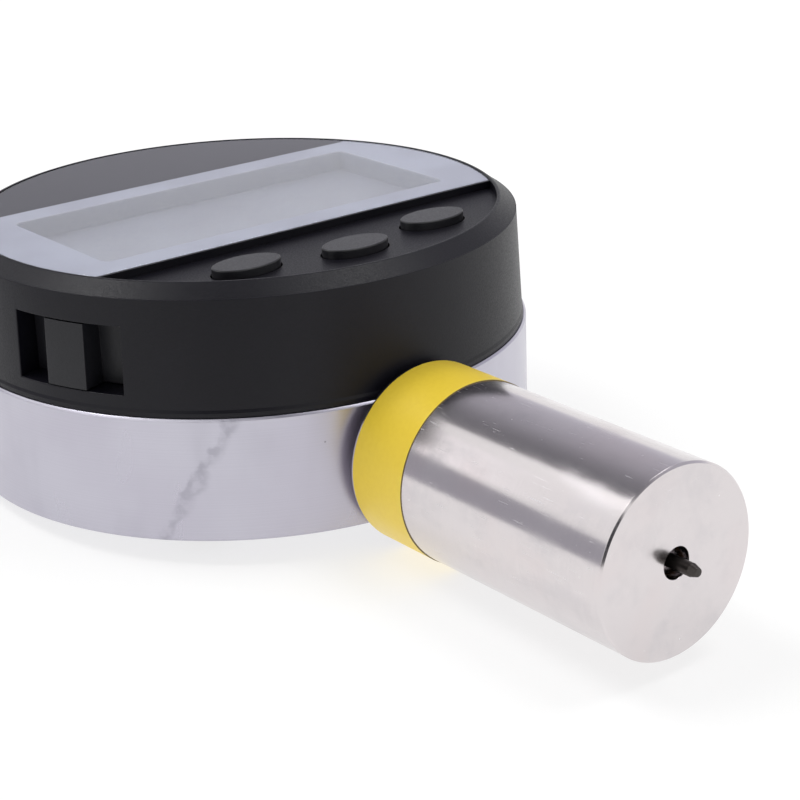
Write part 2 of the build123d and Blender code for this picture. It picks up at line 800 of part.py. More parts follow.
# ---------------------------------------------------------------- probe: barrel, plug and label band
with BuildPart() as probe_barrel:
    with BuildSketch(across_probe(barrel_rear)):
        Circle(probe_radius)
    extrude(amount=probe_reach - barrel_rear)
    chamfer(probe_barrel.edges().filter_by(GeomType.CIRCLE), barrel_chamfer)
    with BuildSketch(across_probe(barrel_rear)):
        Circle(barrel_bore)
    extrude(amount=foot_inner - barrel_rear, mode=Mode.SUBTRACT)
    with BuildSketch(across_probe(foot_inner)):
        Circle(foot_hole_radius)
    extrude(amount=foot_thickness, mode=Mode.SUBTRACT)
probe_barrel.part.label = "probe_barrel"
export_step(probe_barrel.part, "parts/probe_barrel.step")

bush_seat = boss_face + bush_length
plug_bore = spindle_radius + plug_bore_gap

with BuildPart() as barrel_plug:
    with BuildSketch(along_probe):
        with BuildLine():
            Polyline(
                (boss_face, bush_radius),
                (boss_face, spigot_radius),
                (plug_seat, spigot_radius),
                (plug_seat, barrel_bore),
                (plug_front, barrel_bore),
                (plug_front, plug_bore),
                (bush_seat, plug_bore),
                (bush_seat, bush_radius),
                close=True,
            )
        make_face()
    revolve(axis=probe_axis)
barrel_plug.part.label = "barrel_plug"
export_step(barrel_plug.part, "parts/barrel_plug.step")

with BuildPart() as probe_label:
    with BuildSketch(across_probe(barrel_rear + label_setback)):
        Circle(probe_radius + label_thickness)
        Circle(probe_radius, mode=Mode.SUBTRACT)
    extrude(amount=label_width)
probe_label.part.label = "probe_label"
export_step(probe_label.part, "parts/probe_label.step")

with BuildPart() as barrel_lock_screw:
    with BuildSketch(at_height(probe_height + spigot_radius)):
        with Locations((0, -(boss_face + lock_screw_setback))):
            Circle(lock_screw_radius)
    extrude(amount=boss_top - probe_height - spigot_radius)
    with BuildSketch(at_height(boss_top)):
        with Locations((0, -(boss_face + lock_screw_setback))):
            RegularPolygon(hex_socket_radius, 6)
    extrude(amount=-hex_socket_depth, mode=Mode.SUBTRACT)
barrel_lock_screw.part.label = "barrel_lock_screw"
export_step(barrel_lock_screw.part, "parts/barrel_lock_screw.step")

# ---------------------------------------------------------------- probe: bushes, adjuster and spring
with BuildPart() as rear_bush:
    with BuildSketch(across_probe(boss_face)):
        Circle(bush_radius)
        Circle(spindle_radius + running_clearance, mode=Mode.SUBTRACT)
    extrude(amount=bush_length)
rear_bush.part.label = "rear_bush"
export_step(rear_bush.part, "parts/rear_bush.step")

with BuildPart() as front_bush:
    with BuildSketch(across_probe(collar_front)):
        Circle(barrel_bore)
        Circle(spindle_radius + running_clearance, mode=Mode.SUBTRACT)
    extrude(amount=front_bush_length)
front_bush.part.label = "front_bush"
export_step(front_bush.part, "parts/front_bush.step")

# The adjuster is a threaded ring that sets the spring's preload, slotted for a pin spanner.
with BuildPart() as spring_adjuster:
    with BuildSketch(across_probe(plug_front)):
        Circle(barrel_bore)
        Circle(plug_bore, mode=Mode.SUBTRACT)
    extrude(amount=adjuster_length)
    with BuildSketch(across_probe(spring_rear)):
        with PolarLocations(barrel_bore, 2):
            Rectangle(2 * (barrel_bore - spring_radius - spring_wire), slot_width)
    extrude(amount=-slot_depth, mode=Mode.SUBTRACT)
spring_adjuster.part.label = "spring_adjuster"
export_step(spring_adjuster.part, "parts/spring_adjuster.step")

wire_radius = spring_wire / 2
helix_height = spring_length - spring_wire

with BuildPart() as load_spring:
    with BuildLine() as spring_path:
        Helix(
            pitch=helix_height / spring_turns,
            height=helix_height,
            radius=spring_radius,
            center=(0, -(spring_rear + wire_radius), probe_height),
            direction=(0, -1, 0),
        )
    with BuildSketch(Plane(origin=spring_path.line @ 0, z_dir=spring_path.line % 0)):
        Circle(wire_radius)
    sweep(is_frenet=True)
load_spring.part.label = "load_spring"
export_step(load_spring.part, "parts/load_spring.step")

# ---------------------------------------------------------------- plunger: spindle, indenter, collar
# The indenter is the standard one: a 1.25 mm shank with a 35 degree cone cut off flat at 0.79 mm.
cone_length = (indenter_radius - indenter_tip_radius) / tan(radians(indenter_cone / 2))
grip_start = spindle_front - indenter_grip

with BuildPart() as spindle:
    with BuildSketch(across_probe(spindle_tail)):
        Circle(spindle_radius)
    extrude(amount=spindle_front - spindle_tail)
    chamfer(spindle.edges().filter_by(GeomType.CIRCLE), spindle_chamfer)
    with BuildSketch(across_probe(grip_start)):
        Circle(indenter_radius)
    extrude(amount=indenter_grip, mode=Mode.SUBTRACT)
    with BuildSketch(at_height(probe_height - 2 * spindle_radius)):
        with Locations((0, -guide_pin_distance)):
            Circle(guide_pin_radius)
    extrude(amount=2 * spindle_radius, mode=Mode.SUBTRACT)
spindle.part.label = "spindle"
export_step(spindle.part, "parts/spindle.step")

with BuildPart() as indenter:
    with BuildSketch(along_probe):
        with BuildLine():
            Polyline(
                (grip_start, 0),
                (grip_start, indenter_radius),
                (indenter_tip - cone_length, indenter_radius),
                (indenter_tip, indenter_tip_radius),
                (indenter_tip, 0),
                close=True,
            )
        make_face()
    revolve(axis=probe_axis)
indenter.part.label = "indenter"
export_step(indenter.part, "parts/indenter.step")

with BuildPart() as spring_collar:
    with BuildSketch(along_probe):
        with BuildLine():
            Polyline(
                (collar_rear - collar_nose, spindle_radius),
                (collar_rear - collar_nose, collar_nose_radius),
                (collar_rear, collar_nose_radius),
                (collar_rear, collar_radius),
                (collar_front, collar_radius),
                (collar_front, spindle_radius),
                close=True,
            )
        make_face()
    revolve(axis=probe_axis)
spring_collar.part.label = "spring_collar"
export_step(spring_collar.part, "parts/spring_collar.step")

# ---------------------------------------------------------------- plunger: scale carrier and guide pin
# The carrier straddles the spindle like a saddle, and one screw from the side clamps it.
with BuildPart() as scale_carrier:
    with BuildSketch(across_probe(carrier_start)):
        with Locations((0, middle(carrier_above, -carrier_below))):
            Rectangle(carrier_width, carrier_above + carrier_below)
        Circle(spindle_radius, mode=Mode.SUBTRACT)
        with Locations((0, -carrier_below)):
            Rectangle(2 * spindle_radius, 2 * carrier_below, mode=Mode.SUBTRACT)
    extrude(amount=carrier_length)
    with BuildSketch(Plane.YZ):
        with Locations((-middle(carrier_start, guide_pin_distance), probe_height)):
            Circle(small_screw_radius)
    extrude(amount=carrier_width / 2, mode=Mode.SUBTRACT)
scale_carrier.part.label = "scale_carrier"
export_step(scale_carrier.part, "parts/scale_carrier.step")

with BuildPart() as encoder_scale:
    with BuildSketch(at_height(carrier_top)):
        with Locations((0, -middle(carrier_start, carrier_end))):
            Rectangle(carrier_width - 2 * scale_margin, carrier_length - 2 * scale_margin)
    extrude(amount=scale_thickness)
encoder_scale.part.label = "encoder_scale"
export_step(encoder_scale.part, "parts/encoder_scale.step")

with BuildPart() as carrier_screw:
    with BuildSketch(Plane.YZ.offset(spindle_radius)):
        with Locations((-middle(carrier_start, guide_pin_distance), probe_height)):
            Circle(small_screw_radius)
    extrude(amount=carrier_width / 2 - spindle_radius)
carrier_screw.part.label = "carrier_screw"
export_step(carrier_screw.part, "parts/carrier_screw.step")

with BuildPart() as guide_pin:
    with BuildSketch(at_height(case_back + guide_pin_gap)):
        with Locations((0, -guide_pin_distance)):
            Circle(guide_pin_radius)
    extrude(amount=probe_height - case_back - guide_pin_gap)
guide_pin.part.label = "guide_pin"
export_step(guide_pin.part, "parts/guide_pin.step")

# ---------------------------------------------------------------- travel sensor: bracket, board, ribbon
# The bracket's slot guides the pin, so the plunger slides but can't turn.
slot_clear_radius = guide_pin_radius + guide_slot_clearance
slot_rear = guide_pin_distance - plunger_travel
side_x = (bracket_width - bracket_side) / 2

with BuildPart() as sensor_bracket:
    with BuildSketch(at_height(case_back)):
        with Locations((0, -bracket_centre)):
            Rectangle(bracket_width, bracket_length)
    extrude(amount=bracket_floor)
    with BuildSketch(at_height(case_back)):
        with Locations((-side_x, -bracket_centre), (side_x, -bracket_centre)):
            Rectangle(bracket_side, bracket_length)
    extrude(amount=sensor_board_bottom - case_back)
    with BuildSketch(at_height(case_back)):
        with Locations((0, -middle(slot_rear, guide_pin_distance))):
            SlotCenterToCenter(plunger_travel, 2 * slot_clear_radius, rotation=90)
    extrude(amount=bracket_floor, mode=Mode.SUBTRACT)
    with BuildSketch(at_height(case_back)):
        with Locations(*bracket_screw_spots):
            Circle(small_screw_radius)
    extrude(amount=sensor_board_bottom - case_back, mode=Mode.SUBTRACT)
sensor_bracket.part.label = "sensor_bracket"
export_step(sensor_bracket.part, "parts/sensor_bracket.step")

with BuildPart() as sensor_board:
    with BuildSketch(at_height(sensor_board_bottom)):
        with Locations((0, -bracket_centre)):
            Rectangle(bracket_width, bracket_length)
        with Locations(*bracket_screw_spots):
            Circle(small_screw_radius, mode=Mode.SUBTRACT)
    extrude(amount=sensor_board_thickness)
sensor_board.part.label = "sensor_board"
export_step(sensor_board.part, "parts/sensor_board.step")

# Four long screws pass through the sensor board and the bracket into the case's floor.
with BuildPart() as sensor_screws:
    with BuildSketch(at_height(case_back - small_screw_reach)):
        with Locations(*bracket_screw_spots):
            Circle(small_screw_radius)
    extrude(amount=sensor_board_top - case_back + small_screw_reach)
    with BuildSketch(at_height(sensor_board_top)):
        with Locations(*bracket_screw_spots):
            Circle(small_screw_head_radius)
    extrude(amount=small_screw_head)
sensor_screws.part.label = "sensor_screws"
export_step(sensor_screws.part, "parts/sensor_screws.step")

ribbon_rise = ribbon_centre - bracket_start

with BuildPart() as sensor_ribbon:
    with BuildSketch(Plane.YZ):
        with BuildLine():
            Polyline(
                (-ribbon_tail, sensor_board_top),
                (ribbon_rise, sensor_board_top),
                (ribbon_rise, board_bottom - ribbon_thickness),
                (ribbon_rise + ribbon_tail, board_bottom - ribbon_thickness),
                (ribbon_rise + ribbon_tail, board_bottom),
                (ribbon_rise - ribbon_thickness, board_bottom),
                (ribbon_rise - ribbon_thickness, sensor_board_top + ribbon_thickness),
                (-ribbon_tail, sensor_board_top + ribbon_thickness),
                close=True,
            )
        make_face()
    extrude(amount=ribbon_width / 2, both=True)
sensor_ribbon.part.label = "sensor_ribbon"
export_step(sensor_ribbon.part, "parts/sensor_ribbon.step")
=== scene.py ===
# %% [markdown]
# # A digital hardness tester, piece by piece
#
# The tester is a round head, half turned metal and half black moulding, with a sprung steel probe
# screwed into its rim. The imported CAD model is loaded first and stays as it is. The pieces that a
# viewer sees are then made again with rounded edges and fine curves, in the same place.

import json
from math import atan2, cos, pi, radians, sin, sqrt, tan

import bmesh
import bpy
from mathutils import Matrix, Vector

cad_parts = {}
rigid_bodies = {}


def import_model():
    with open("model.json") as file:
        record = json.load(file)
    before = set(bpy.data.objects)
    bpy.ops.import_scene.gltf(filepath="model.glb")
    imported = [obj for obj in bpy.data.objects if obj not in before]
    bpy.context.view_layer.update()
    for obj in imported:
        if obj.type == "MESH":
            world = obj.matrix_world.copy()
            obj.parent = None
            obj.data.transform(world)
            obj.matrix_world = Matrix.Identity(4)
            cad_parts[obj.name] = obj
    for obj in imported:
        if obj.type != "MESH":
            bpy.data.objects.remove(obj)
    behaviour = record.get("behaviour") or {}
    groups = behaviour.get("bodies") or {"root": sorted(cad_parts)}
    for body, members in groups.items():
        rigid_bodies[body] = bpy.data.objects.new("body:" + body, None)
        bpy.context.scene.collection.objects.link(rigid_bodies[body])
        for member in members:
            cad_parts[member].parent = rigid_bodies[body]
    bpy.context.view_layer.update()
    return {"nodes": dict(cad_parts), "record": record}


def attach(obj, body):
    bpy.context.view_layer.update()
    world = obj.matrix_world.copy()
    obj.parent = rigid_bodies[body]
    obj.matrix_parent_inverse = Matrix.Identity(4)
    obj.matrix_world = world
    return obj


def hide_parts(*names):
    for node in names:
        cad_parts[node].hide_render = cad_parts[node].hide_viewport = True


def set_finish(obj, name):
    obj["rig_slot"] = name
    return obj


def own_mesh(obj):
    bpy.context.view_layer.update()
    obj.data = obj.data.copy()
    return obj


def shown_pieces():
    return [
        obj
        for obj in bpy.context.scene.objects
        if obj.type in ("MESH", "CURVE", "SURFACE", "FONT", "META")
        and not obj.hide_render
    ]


for leftover in list(bpy.data.objects):
    bpy.data.objects.remove(leftover)
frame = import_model()
nodes = frame["nodes"]
mm = 0.001
print("nodes loaded:", len(nodes))

# %% [markdown]
# ## Working by hand, in code
#
# An operator acts on everything that is selected. So each step first drops the selection and then
# picks the one piece it works on. Places are written in millimetres and turned into metres here.


# %% Selecting
def drop_selection():
    """Leaves edit mode and deselects every object."""
    if bpy.context.object and bpy.context.object.mode != "OBJECT":
        bpy.ops.object.mode_set(mode="OBJECT")
    bpy.ops.object.select_all(action="DESELECT")


def pick(piece):
    """Makes piece the only selected object, and the active one."""
    drop_selection()
    piece.select_set(True)
    bpy.context.view_layer.objects.active = piece


def settle(piece):
    """Writes the object's place, turn and size into its mesh, so that it sits at the origin."""
    pick(piece)
    bpy.ops.object.transform_apply(location=True, rotation=True, scale=True)
    return piece


# %% [markdown]
# ## Turning, as on a lathe
#
# Most of this tester is turned, so most pieces start as a profile: one point is extruded from place
# to place, and the line is spun round its axis. Corners get their radius in the profile, which
# gives cleaner edges than a bevel put on afterwards.


# %% Profiles and spinning
def rounded(corners, arc_steps=4):
    """The corner list as plain points. A corner is (a, b) or (a, b, radius)."""
    points = []
    last = len(corners) - 1
    for i, corner in enumerate(corners):
        here = Vector(corner[:2])
        radius = corner[2] if len(corner) > 2 else 0
        if not radius or i in (0, last):
            points.append(here)
            continue
        to_last = (Vector(corners[i - 1][:2]) - here).normalized()
        to_next = (Vector(corners[i + 1][:2]) - here).normalized()
        half = to_last.angle(to_next) / 2
        reach = radius / tan(half)
        centre = here + (to_last + to_next).normalized() * (radius / sin(half))
        start = here + to_last * reach - centre
        end = here + to_next * reach - centre
        for step in range(arc_steps + 1):
            share = step / arc_steps
            arm = start.lerp(end, share)
            points.append(centre + arm.normalized() * radius)
    return points


def turned(name, places, centre, axis, steps, angle=2 * pi):
    """Extrudes one point through places and spins the line about the axis. All in millimetres."""
    places = [Vector(p) * mm for p in places]
    drop_selection()
    bpy.ops.mesh.primitive_plane_add(size=mm)
    piece = bpy.context.object
    piece.name = piece.data.name = name
    bpy.ops.object.mode_set(mode="EDIT")
    bpy.ops.mesh.select_mode(type="VERT")
    bpy.ops.mesh.select_all(action="SELECT")
    bpy.ops.mesh.merge(type="CENTER")
    bpy.ops.transform.translate(value=places[0])
    for here, there in zip(places, places[1:]):
        bpy.ops.mesh.extrude_vertices_move(TRANSFORM_OT_translate={"value": there - here})
    bpy.ops.mesh.select_all(action="SELECT")
    bpy.ops.mesh.spin(steps=steps, angle=angle, center=Vector(centre) * mm, axis=axis)
    bpy.ops.mesh.select_all(action="SELECT")
    bpy.ops.mesh.remove_doubles(threshold=mm / 10000)
    bpy.ops.mesh.normals_make_consistent(inside=False)
    bpy.ops.object.mode_set(mode="OBJECT")
    return piece


HEAD_STEPS = 250
PROBE_STEPS = 160
probe_height = 6.25


def turned_upright(name, corners, at=(0, 0), steps=HEAD_STEPS):
    """A piece turned about an upright axis. Corners are (radius, height)."""
    places = [(at[0] + r, at[1], z) for r, z in rounded(corners)]
    return turned(name, places, (at[0], at[1], 0), (0, 0, 1), steps)


def turned_on_probe(name, corners, steps=PROBE_STEPS, angle=2 * pi):
    """A piece turned about the probe's axis. Corners are (distance from the head's centre, radius)."""
    places = [(r, -s, probe_height) for s, r in rounded(corners)]
    return turned(name, places, (0, 0, probe_height), (0, -1, 0), steps, angle)


# %% [markdown]
# ## Cutting, joining and copying
#
# Holes, slots and posts come from simple tools that are cut out of a piece or joined to it with a
# Boolean modifier, which is applied at once. The tools themselves don't stay. What the tester has
# several of is made once, at the head's axis, and copied to its places.


# %% Tools for cutting and copying
def block(low, high, turn=0.0):
    """A box between two corners, turned about the head's axis by so many degrees."""
    drop_selection()
    low, high = Vector(low) * mm, Vector(high) * mm
    turning = Matrix.Rotation(radians(turn), 4, "Z")
    bpy.ops.mesh.primitive_cube_add(
        size=1, location=turning @ ((low + high) / 2), rotation=(0, 0, radians(turn)), scale=high - low
    )
    return settle(bpy.context.object)


def rod(radius, start, end, sides=64, wide=1.0):
    """A round bar between two points. wide stretches it along X into an oval."""
    drop_selection()
    start, end = Vector(start) * mm, Vector(end) * mm
    turn = (end - start).to_track_quat("Z", "Y").to_euler()
    bpy.ops.mesh.primitive_cylinder_add(
        vertices=sides, radius=radius * mm, depth=(end - start).length,
        location=(start + end) / 2, rotation=turn, scale=(wide, 1, 1),
    )
    return settle(bpy.context.object)


def carve(piece, tool, operation="DIFFERENCE"):
    """Cuts tool from piece, joins it to piece or keeps what both share, and drops the tool."""
    pick(piece)
    change = piece.modifiers.new("carve", "BOOLEAN")
    change.operation = operation
    change.solver = "EXACT"
    change.object = tool
    bpy.ops.object.modifier_apply(modifier=change.name)
    bpy.data.objects.remove(tool)


def join(piece, tool):
    carve(piece, tool, "UNION")


def keep_shared(piece, tool):
    carve(piece, tool, "INTERSECT")


def copied(pattern, name, x, y, turn=0.0):
    """A copy of a piece with a mesh of its own, moved and turned to its place."""
    copy = pattern.copy()
    copy.data = pattern.data.copy()
    copy.name = copy.data.name = name
    bpy.context.scene.collection.objects.link(copy)
    copy.location = Vector((x, y, 0)) * mm
    copy.rotation_euler.z = radians(turn)
    return settle(copy)


# %% [markdown]
# ## Edges and shading
#
# No real edge is perfectly sharp. The edges that a test picks by place get a small bevel, and then
# the piece is shaded smooth, except where two faces meet at a clear angle.


# %% Edges and shading
def soften(piece, chosen, radius, segments=3, sharper_than=40):
    """Bevels the sharp edges whose two ends both pass the test chosen, which gets millimetres."""
    pick(piece)
    bpy.ops.object.mode_set(mode="EDIT")
    bpy.ops.mesh.select_mode(type="EDGE")
    bpy.ops.mesh.select_all(action="DESELECT")
    net = bmesh.from_edit_mesh(piece.data)
    count = 0
    for edge in net.edges:
        if len(edge.link_faces) == 2 and edge.calc_face_angle() > radians(sharper_than):
            if all(chosen(v.co / mm) for v in edge.verts):
                edge.select = True
                count += 1
    net.select_flush_mode()
    bmesh.update_edit_mesh(piece.data)
    if count:
        bpy.ops.mesh.bevel(offset=radius * mm, segments=segments, affect="EDGES", clamp_overlap=True)
    bpy.ops.object.mode_set(mode="OBJECT")
    return count


def smooth(piece, angle=32):
    """Smooth shading with crisp edges, and normals weighted towards the large faces."""
    pick(piece)
    bpy.ops.object.shade_smooth_by_angle(angle=radians(angle))
    even = piece.modifiers.new("even", "WEIGHTED_NORMAL")
    even.keep_sharp = True
    bpy.ops.object.modifier_apply(modifier=even.name)
    print(f"{piece.name}: {len(piece.data.polygons)} faces")
    return piece


# %% [markdown]
# ## The turned metal case
#
# The back half is a cup turned from bar, with a flat boss inside that takes the probe's threaded
# spigot. The spot face outside gives the probe's shoulder a square seat on the round wall.

# %% Metal case
case_radius = 30.0
case_height = 12.5
case_inner = 27.0
case_back = 2.0
case_rim_chamfer = 0.2
plug_seat = 29.373
boss_face = 24.4
spot_face_radius = 6.1
spigot_hole_radius = 4.0
lock_screw_radius, lock_screw_y = 1.5, -26.55
screw_hole_radius, screw_recess_radius, screw_recess_depth = 1.45, 2.4, 1.2
bracket_hole_radius = 0.8
post_circle = 24.7
post_angles = [45, 135, 225, 315]


def on_circle(radius, angle, height=0.0):
    return (radius * cos(radians(angle)), radius * sin(radians(angle)), height)


case_shell = turned_upright("case_shell", [
    (0, 0), (case_radius, 0, 0.3), (case_radius, case_height - case_rim_chamfer, 0.04),
    (case_radius - case_rim_chamfer, case_height, 0.04), (case_inner, case_height, 0.08),
    (case_inner, case_back, 0.3), (0, case_back),
])
join(case_shell, block((-7.5, -27.5, case_back - 0.5), (7.5, -boss_face, 12.3)))
carve(case_shell, rod(spot_face_radius, (0, -plug_seat, probe_height), (0, -32, probe_height), 96))
carve(case_shell, rod(spigot_hole_radius, (0, -boss_face + 1, probe_height), (0, -32, probe_height)))
carve(case_shell, rod(lock_screw_radius, (0, lock_screw_y, probe_height), (0, lock_screw_y, 14), 32))
for angle in post_angles:
    below = on_circle(post_circle, angle, -1)
    carve(case_shell, rod(screw_hole_radius, below, on_circle(post_circle, angle, 3), 32))
    recess_floor = on_circle(post_circle, angle, screw_recess_depth)
    carve(case_shell, rod(screw_recess_radius, below, recess_floor, 48))
for x in (-9.5, 9.5):
    for y in (-2.5, -19.5):
        carve(case_shell, rod(bracket_hole_radius, (x, y, 0.7), (x, y, 3), 24))


def on_the_spot_face(v):
    from_axis = (v - Vector((0, v.y, probe_height))).length
    return v.y < -28 and abs(from_axis - spot_face_radius) < 0.05


soften(case_shell, lambda v: v.z < 0.01 and v.xy.length < 28, 0.1, 2)
soften(case_shell, on_the_spot_face, 0.06, 2)
smooth(case_shell)
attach(case_shell, "head")
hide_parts("rear_case")
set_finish(case_shell, "case_metal")

# %% [markdown]
# ## The moulded housing
#
# The front half is one moulding: a lip at the seam, a wall with a little draft so that it left the
# mould, a sloping bezel and a sunken panel. It is turned first. The battery drawer's tunnel, the
# screw posts and the openings in the panel are joined or cut afterwards, as the mould maker adds them.

# %% Moulded housing: the shell
panel_top = 24.3
panel_under = 23.1
head_height = 25.2
face_radius = 27.15
wall_foot = (29.6, 13.3)
wall_top = (29.15, 23.95)

housing_shell = turned_upright("housing_shell", [
    (0, panel_top), (face_radius, panel_top, 0.12), (face_radius, head_height, 0.1),
    (27.45, head_height, 0.25), (29.05, 23.95, 0.04), (*wall_top, 0.04), (*wall_foot, 0.15),
    (29.7, 13.0, 0.1), (29.7, case_height, 0.1),
    (26.9, case_height), (26.9, 11.3, 0.1), (25.9, 11.3, 0.1), (25.9, 14.0),
    (27.9, 14.0, 0.5), (27.45, panel_under, 0.5), (0, panel_under),
])

# %% Moulded housing: tunnel, posts and openings
drawer_turn = 201.5
tunnel_rear, tunnel_stop, tunnel_front = 11.55, 12.55, 27.83
opening_low, opening_high = 14.5, 21.2
short_posts = [(-12.466, 19.685), (12.466, 19.685), (19.2, -13.2), (-3.0, -14.2)]
post_radius, post_hole_radius = 2.0, 1.25
short_post_radius, short_post_hole_radius = 1.9, 1.0
post_top = 23.6
button_places = {"left": (-11.316, -18.4), "middle": (0.0, -20.5), "right": (11.316, -18.4)}
window_near, window_far = -12.1, 13.2
frame_top = 24.6
rim_top = 25.1
rim_width = 0.35
button_hole_length, button_hole_width = 3.85, 2.3  # from the oval's middle

carve(housing_shell, block((-8, -33, 11), (8, -21, case_height)))
join(housing_shell, block((tunnel_rear, -7.2, 13.5), (tunnel_front, 7.2, opening_high), drawer_turn))
carve(housing_shell, block((tunnel_stop, -6.2, opening_low), (32, 6.2, opening_high), drawer_turn))
carve(housing_shell, block((tunnel_rear - 1, -6.2, 17.5), (tunnel_stop + 0.1, 6.2, 22), drawer_turn))
for side in (-1, 1):
    low, high = sorted((side * 5.5, side * 6.4))
    join(housing_shell, block((tunnel_rear, low, 20.8), (24.95, high, opening_high), drawer_turn))
for angle in post_angles:
    foot, top = on_circle(post_circle, angle, 2), on_circle(post_circle, angle, post_top)
    join(housing_shell, rod(post_radius, foot, top, 48))
    foot, hole_end = on_circle(post_circle, angle, 1), on_circle(post_circle, angle, 10)
    carve(housing_shell, rod(post_hole_radius, foot, hole_end, 32))
for x, y in short_posts:
    join(housing_shell, rod(short_post_radius, (x, y, 19), (x, y, post_top), 48))
    carve(housing_shell, rod(short_post_hole_radius, (x, y, 18), (x, y, 22), 24))
carve(housing_shell, block((-21.5, -9.2, 22), (21.5, 10.6, 25)))
hole_stretch = button_hole_length / button_hole_width
for x, y in button_places.values():
    carve(housing_shell, rod(button_hole_width, (x, y, 22), (x, y, 25), 96, wide=hole_stretch))
face_overlap, panel_overlap, window_gap = 0.15, 0.3, 0.1
rim = rod(face_radius + face_overlap, (0, 0, panel_top - panel_overlap), (0, 0, rim_top), 200)
rim_front = window_near - window_gap
keep_shared(rim, block((-30, rim_front - rim_width, 20), (30, rim_front, 30)))
join(housing_shell, rim)
far_panel = rod(face_radius + face_overlap, (0, 0, panel_top - panel_overlap), (0, 0, frame_top), 200)
keep_shared(far_panel, block((-30, window_far, 20), (30, 30, 30)))
join(housing_shell, far_panel)
print("housing faces:", len(housing_shell.data.polygons))

# %% Moulded housing: soft edges
wall_radius_low, wall_radius_high = 28.9, 29.75


def round_the_tunnel_mouth(v):
    out = Matrix.Rotation(radians(-drawer_turn), 3, "Z") @ v
    on_wall = wall_radius_low < v.xy.length < wall_radius_high
    return on_wall and abs(out.y) < 6.3 and out.x > 0 and 14.4 < v.z < 21.3


def on_a_button_rim(v):
    """True on the oval edge of a button's hole, where the oval's own distance is 1."""
    reaches = [
        sqrt(((v.x - x) / button_hole_length) ** 2 + ((v.y - y) / button_hole_width) ** 2)
        for x, y in button_places.values()
    ]
    return abs(v.z - panel_top) < 0.01 and any(abs(reach - 1) < 0.01 for reach in reaches)


print("mouth edges:", soften(housing_shell, round_the_tunnel_mouth, 0.12, 3, 30))
print("button rim edges:", soften(housing_shell, on_a_button_rim, 0.12, 3))
smooth(housing_shell)
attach(housing_shell, "head")
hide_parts("front_housing")
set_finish(housing_shell, "housing_plastic")

# %% [markdown]
# ## The window: frame, lens and LCD
#
# A pale frame fills the strip round the window and reaches down through the panel, so its own inner
# walls show round the sunken LCD. The lens is one clear plate, flush with the bezel, that covers the
# frame and the black face beyond it. The LCD is a flat pair of glass plates, and its CAD solid is
# already right.

# %% Window frame and lens
strip_radius = 27.05
lens_top = 25.15
lcd_top = 22.4
aperture = ((-20.9, -8.6), (20.9, 10.0))


def face_plate(low, high, far):
    """A round plate between two heights, kept from the window's near side to far."""
    plate = rod(strip_radius, (0, 0, low), (0, 0, high), HEAD_STEPS)
    keep_shared(plate, block((-30, window_near, 20), (30, far, 30)))
    return plate


frame_strip = face_plate(panel_top, frame_top, window_far)
join(frame_strip, block((-21.4, -9.1, lcd_top), (21.4, 10.5, panel_top + 0.1)))
opening = block((*aperture[0], lcd_top - 1), (*aperture[1], frame_top + 1))
soften(opening, lambda v: True, 0.8, 6)
carve(frame_strip, opening)


def on_the_opening(v):
    return abs(v.z - frame_top) < 0.01 and abs(v.x) < 21 and -8.7 < v.y < 10.1


soften(frame_strip, on_the_opening, 0.12, 3)
frame_strip.name = frame_strip.data.name = "frame_strip"
smooth(frame_strip)
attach(frame_strip, "head")
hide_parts("window_frame")
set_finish(frame_strip, "frame_grey")

lens_overlap = 0.02  # so that no face of the lens lies in a face of the frame
window_lens = face_plate(frame_top - lens_overlap, lens_top, 30)
soften(window_lens, lambda v: abs(v.z - lens_top) < 0.01, 0.1, 3)
window_lens.name = window_lens.data.name = "window_lens"
smooth(window_lens)
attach(window_lens, "head")
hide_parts("display_lens")
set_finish(window_lens, "lens")

# %% [markdown]
# ## Three buttons
#
# Each button is an oval cap with a flange that keeps it in the panel and a stem that presses its
# snap dome. One is made, and the three in the panel are copies of it.

# %% Buttons
button_top = 25.15
flange_low, flange_high = 22.3, 23.1
stem_low = 19.6
cap_length, cap_width = 3.7, 2.15
flange_length, flange_width = 4.0, 2.45
stem_radius = 1.2


def oval(length, width, low, high):
    """An upright oval bar on the head's axis. Its length and width are counted from its middle."""
    return rod(width, (0, 0, low), (0, 0, high), 96, wide=length / width)


one_cap = oval(cap_length, cap_width, flange_low, button_top)
join(one_cap, oval(flange_length, flange_width, flange_low, flange_high))
join(one_cap, rod(stem_radius, (0, 0, stem_low), (0, 0, flange_low + 0.2), 48))
soften(one_cap, lambda v: v.z > button_top - 0.01, 0.14, 4)
soften(one_cap, lambda v: v.z < stem_low + 0.01, 0.1, 2)
smooth(one_cap, 40)
for side, (x, y) in button_places.items():
    cap = copied(one_cap, f"{side}_button_cap", x, y)
    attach(cap, f"{side}_button")
    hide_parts(f"{side}_button")
    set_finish(cap, "button_plastic")
bpy.data.objects.remove(one_cap)

# %% [markdown]
# ## The battery drawer
#
# The drawer's curved front stands back from the wall, so that there is a finger pocket on each side
# of a pull rib. The rib ends flush with the wall, so it is cut by the wall's own turned shape.

# %% Drawer and cell
pocket_radius = 26.95
plate_back = 25.05
cell_centre = 19.15
tray_rear = 12.65
tray_low, tray_high = 14.6, 21.1
cell_low, cell_high = 15.3, 20.7

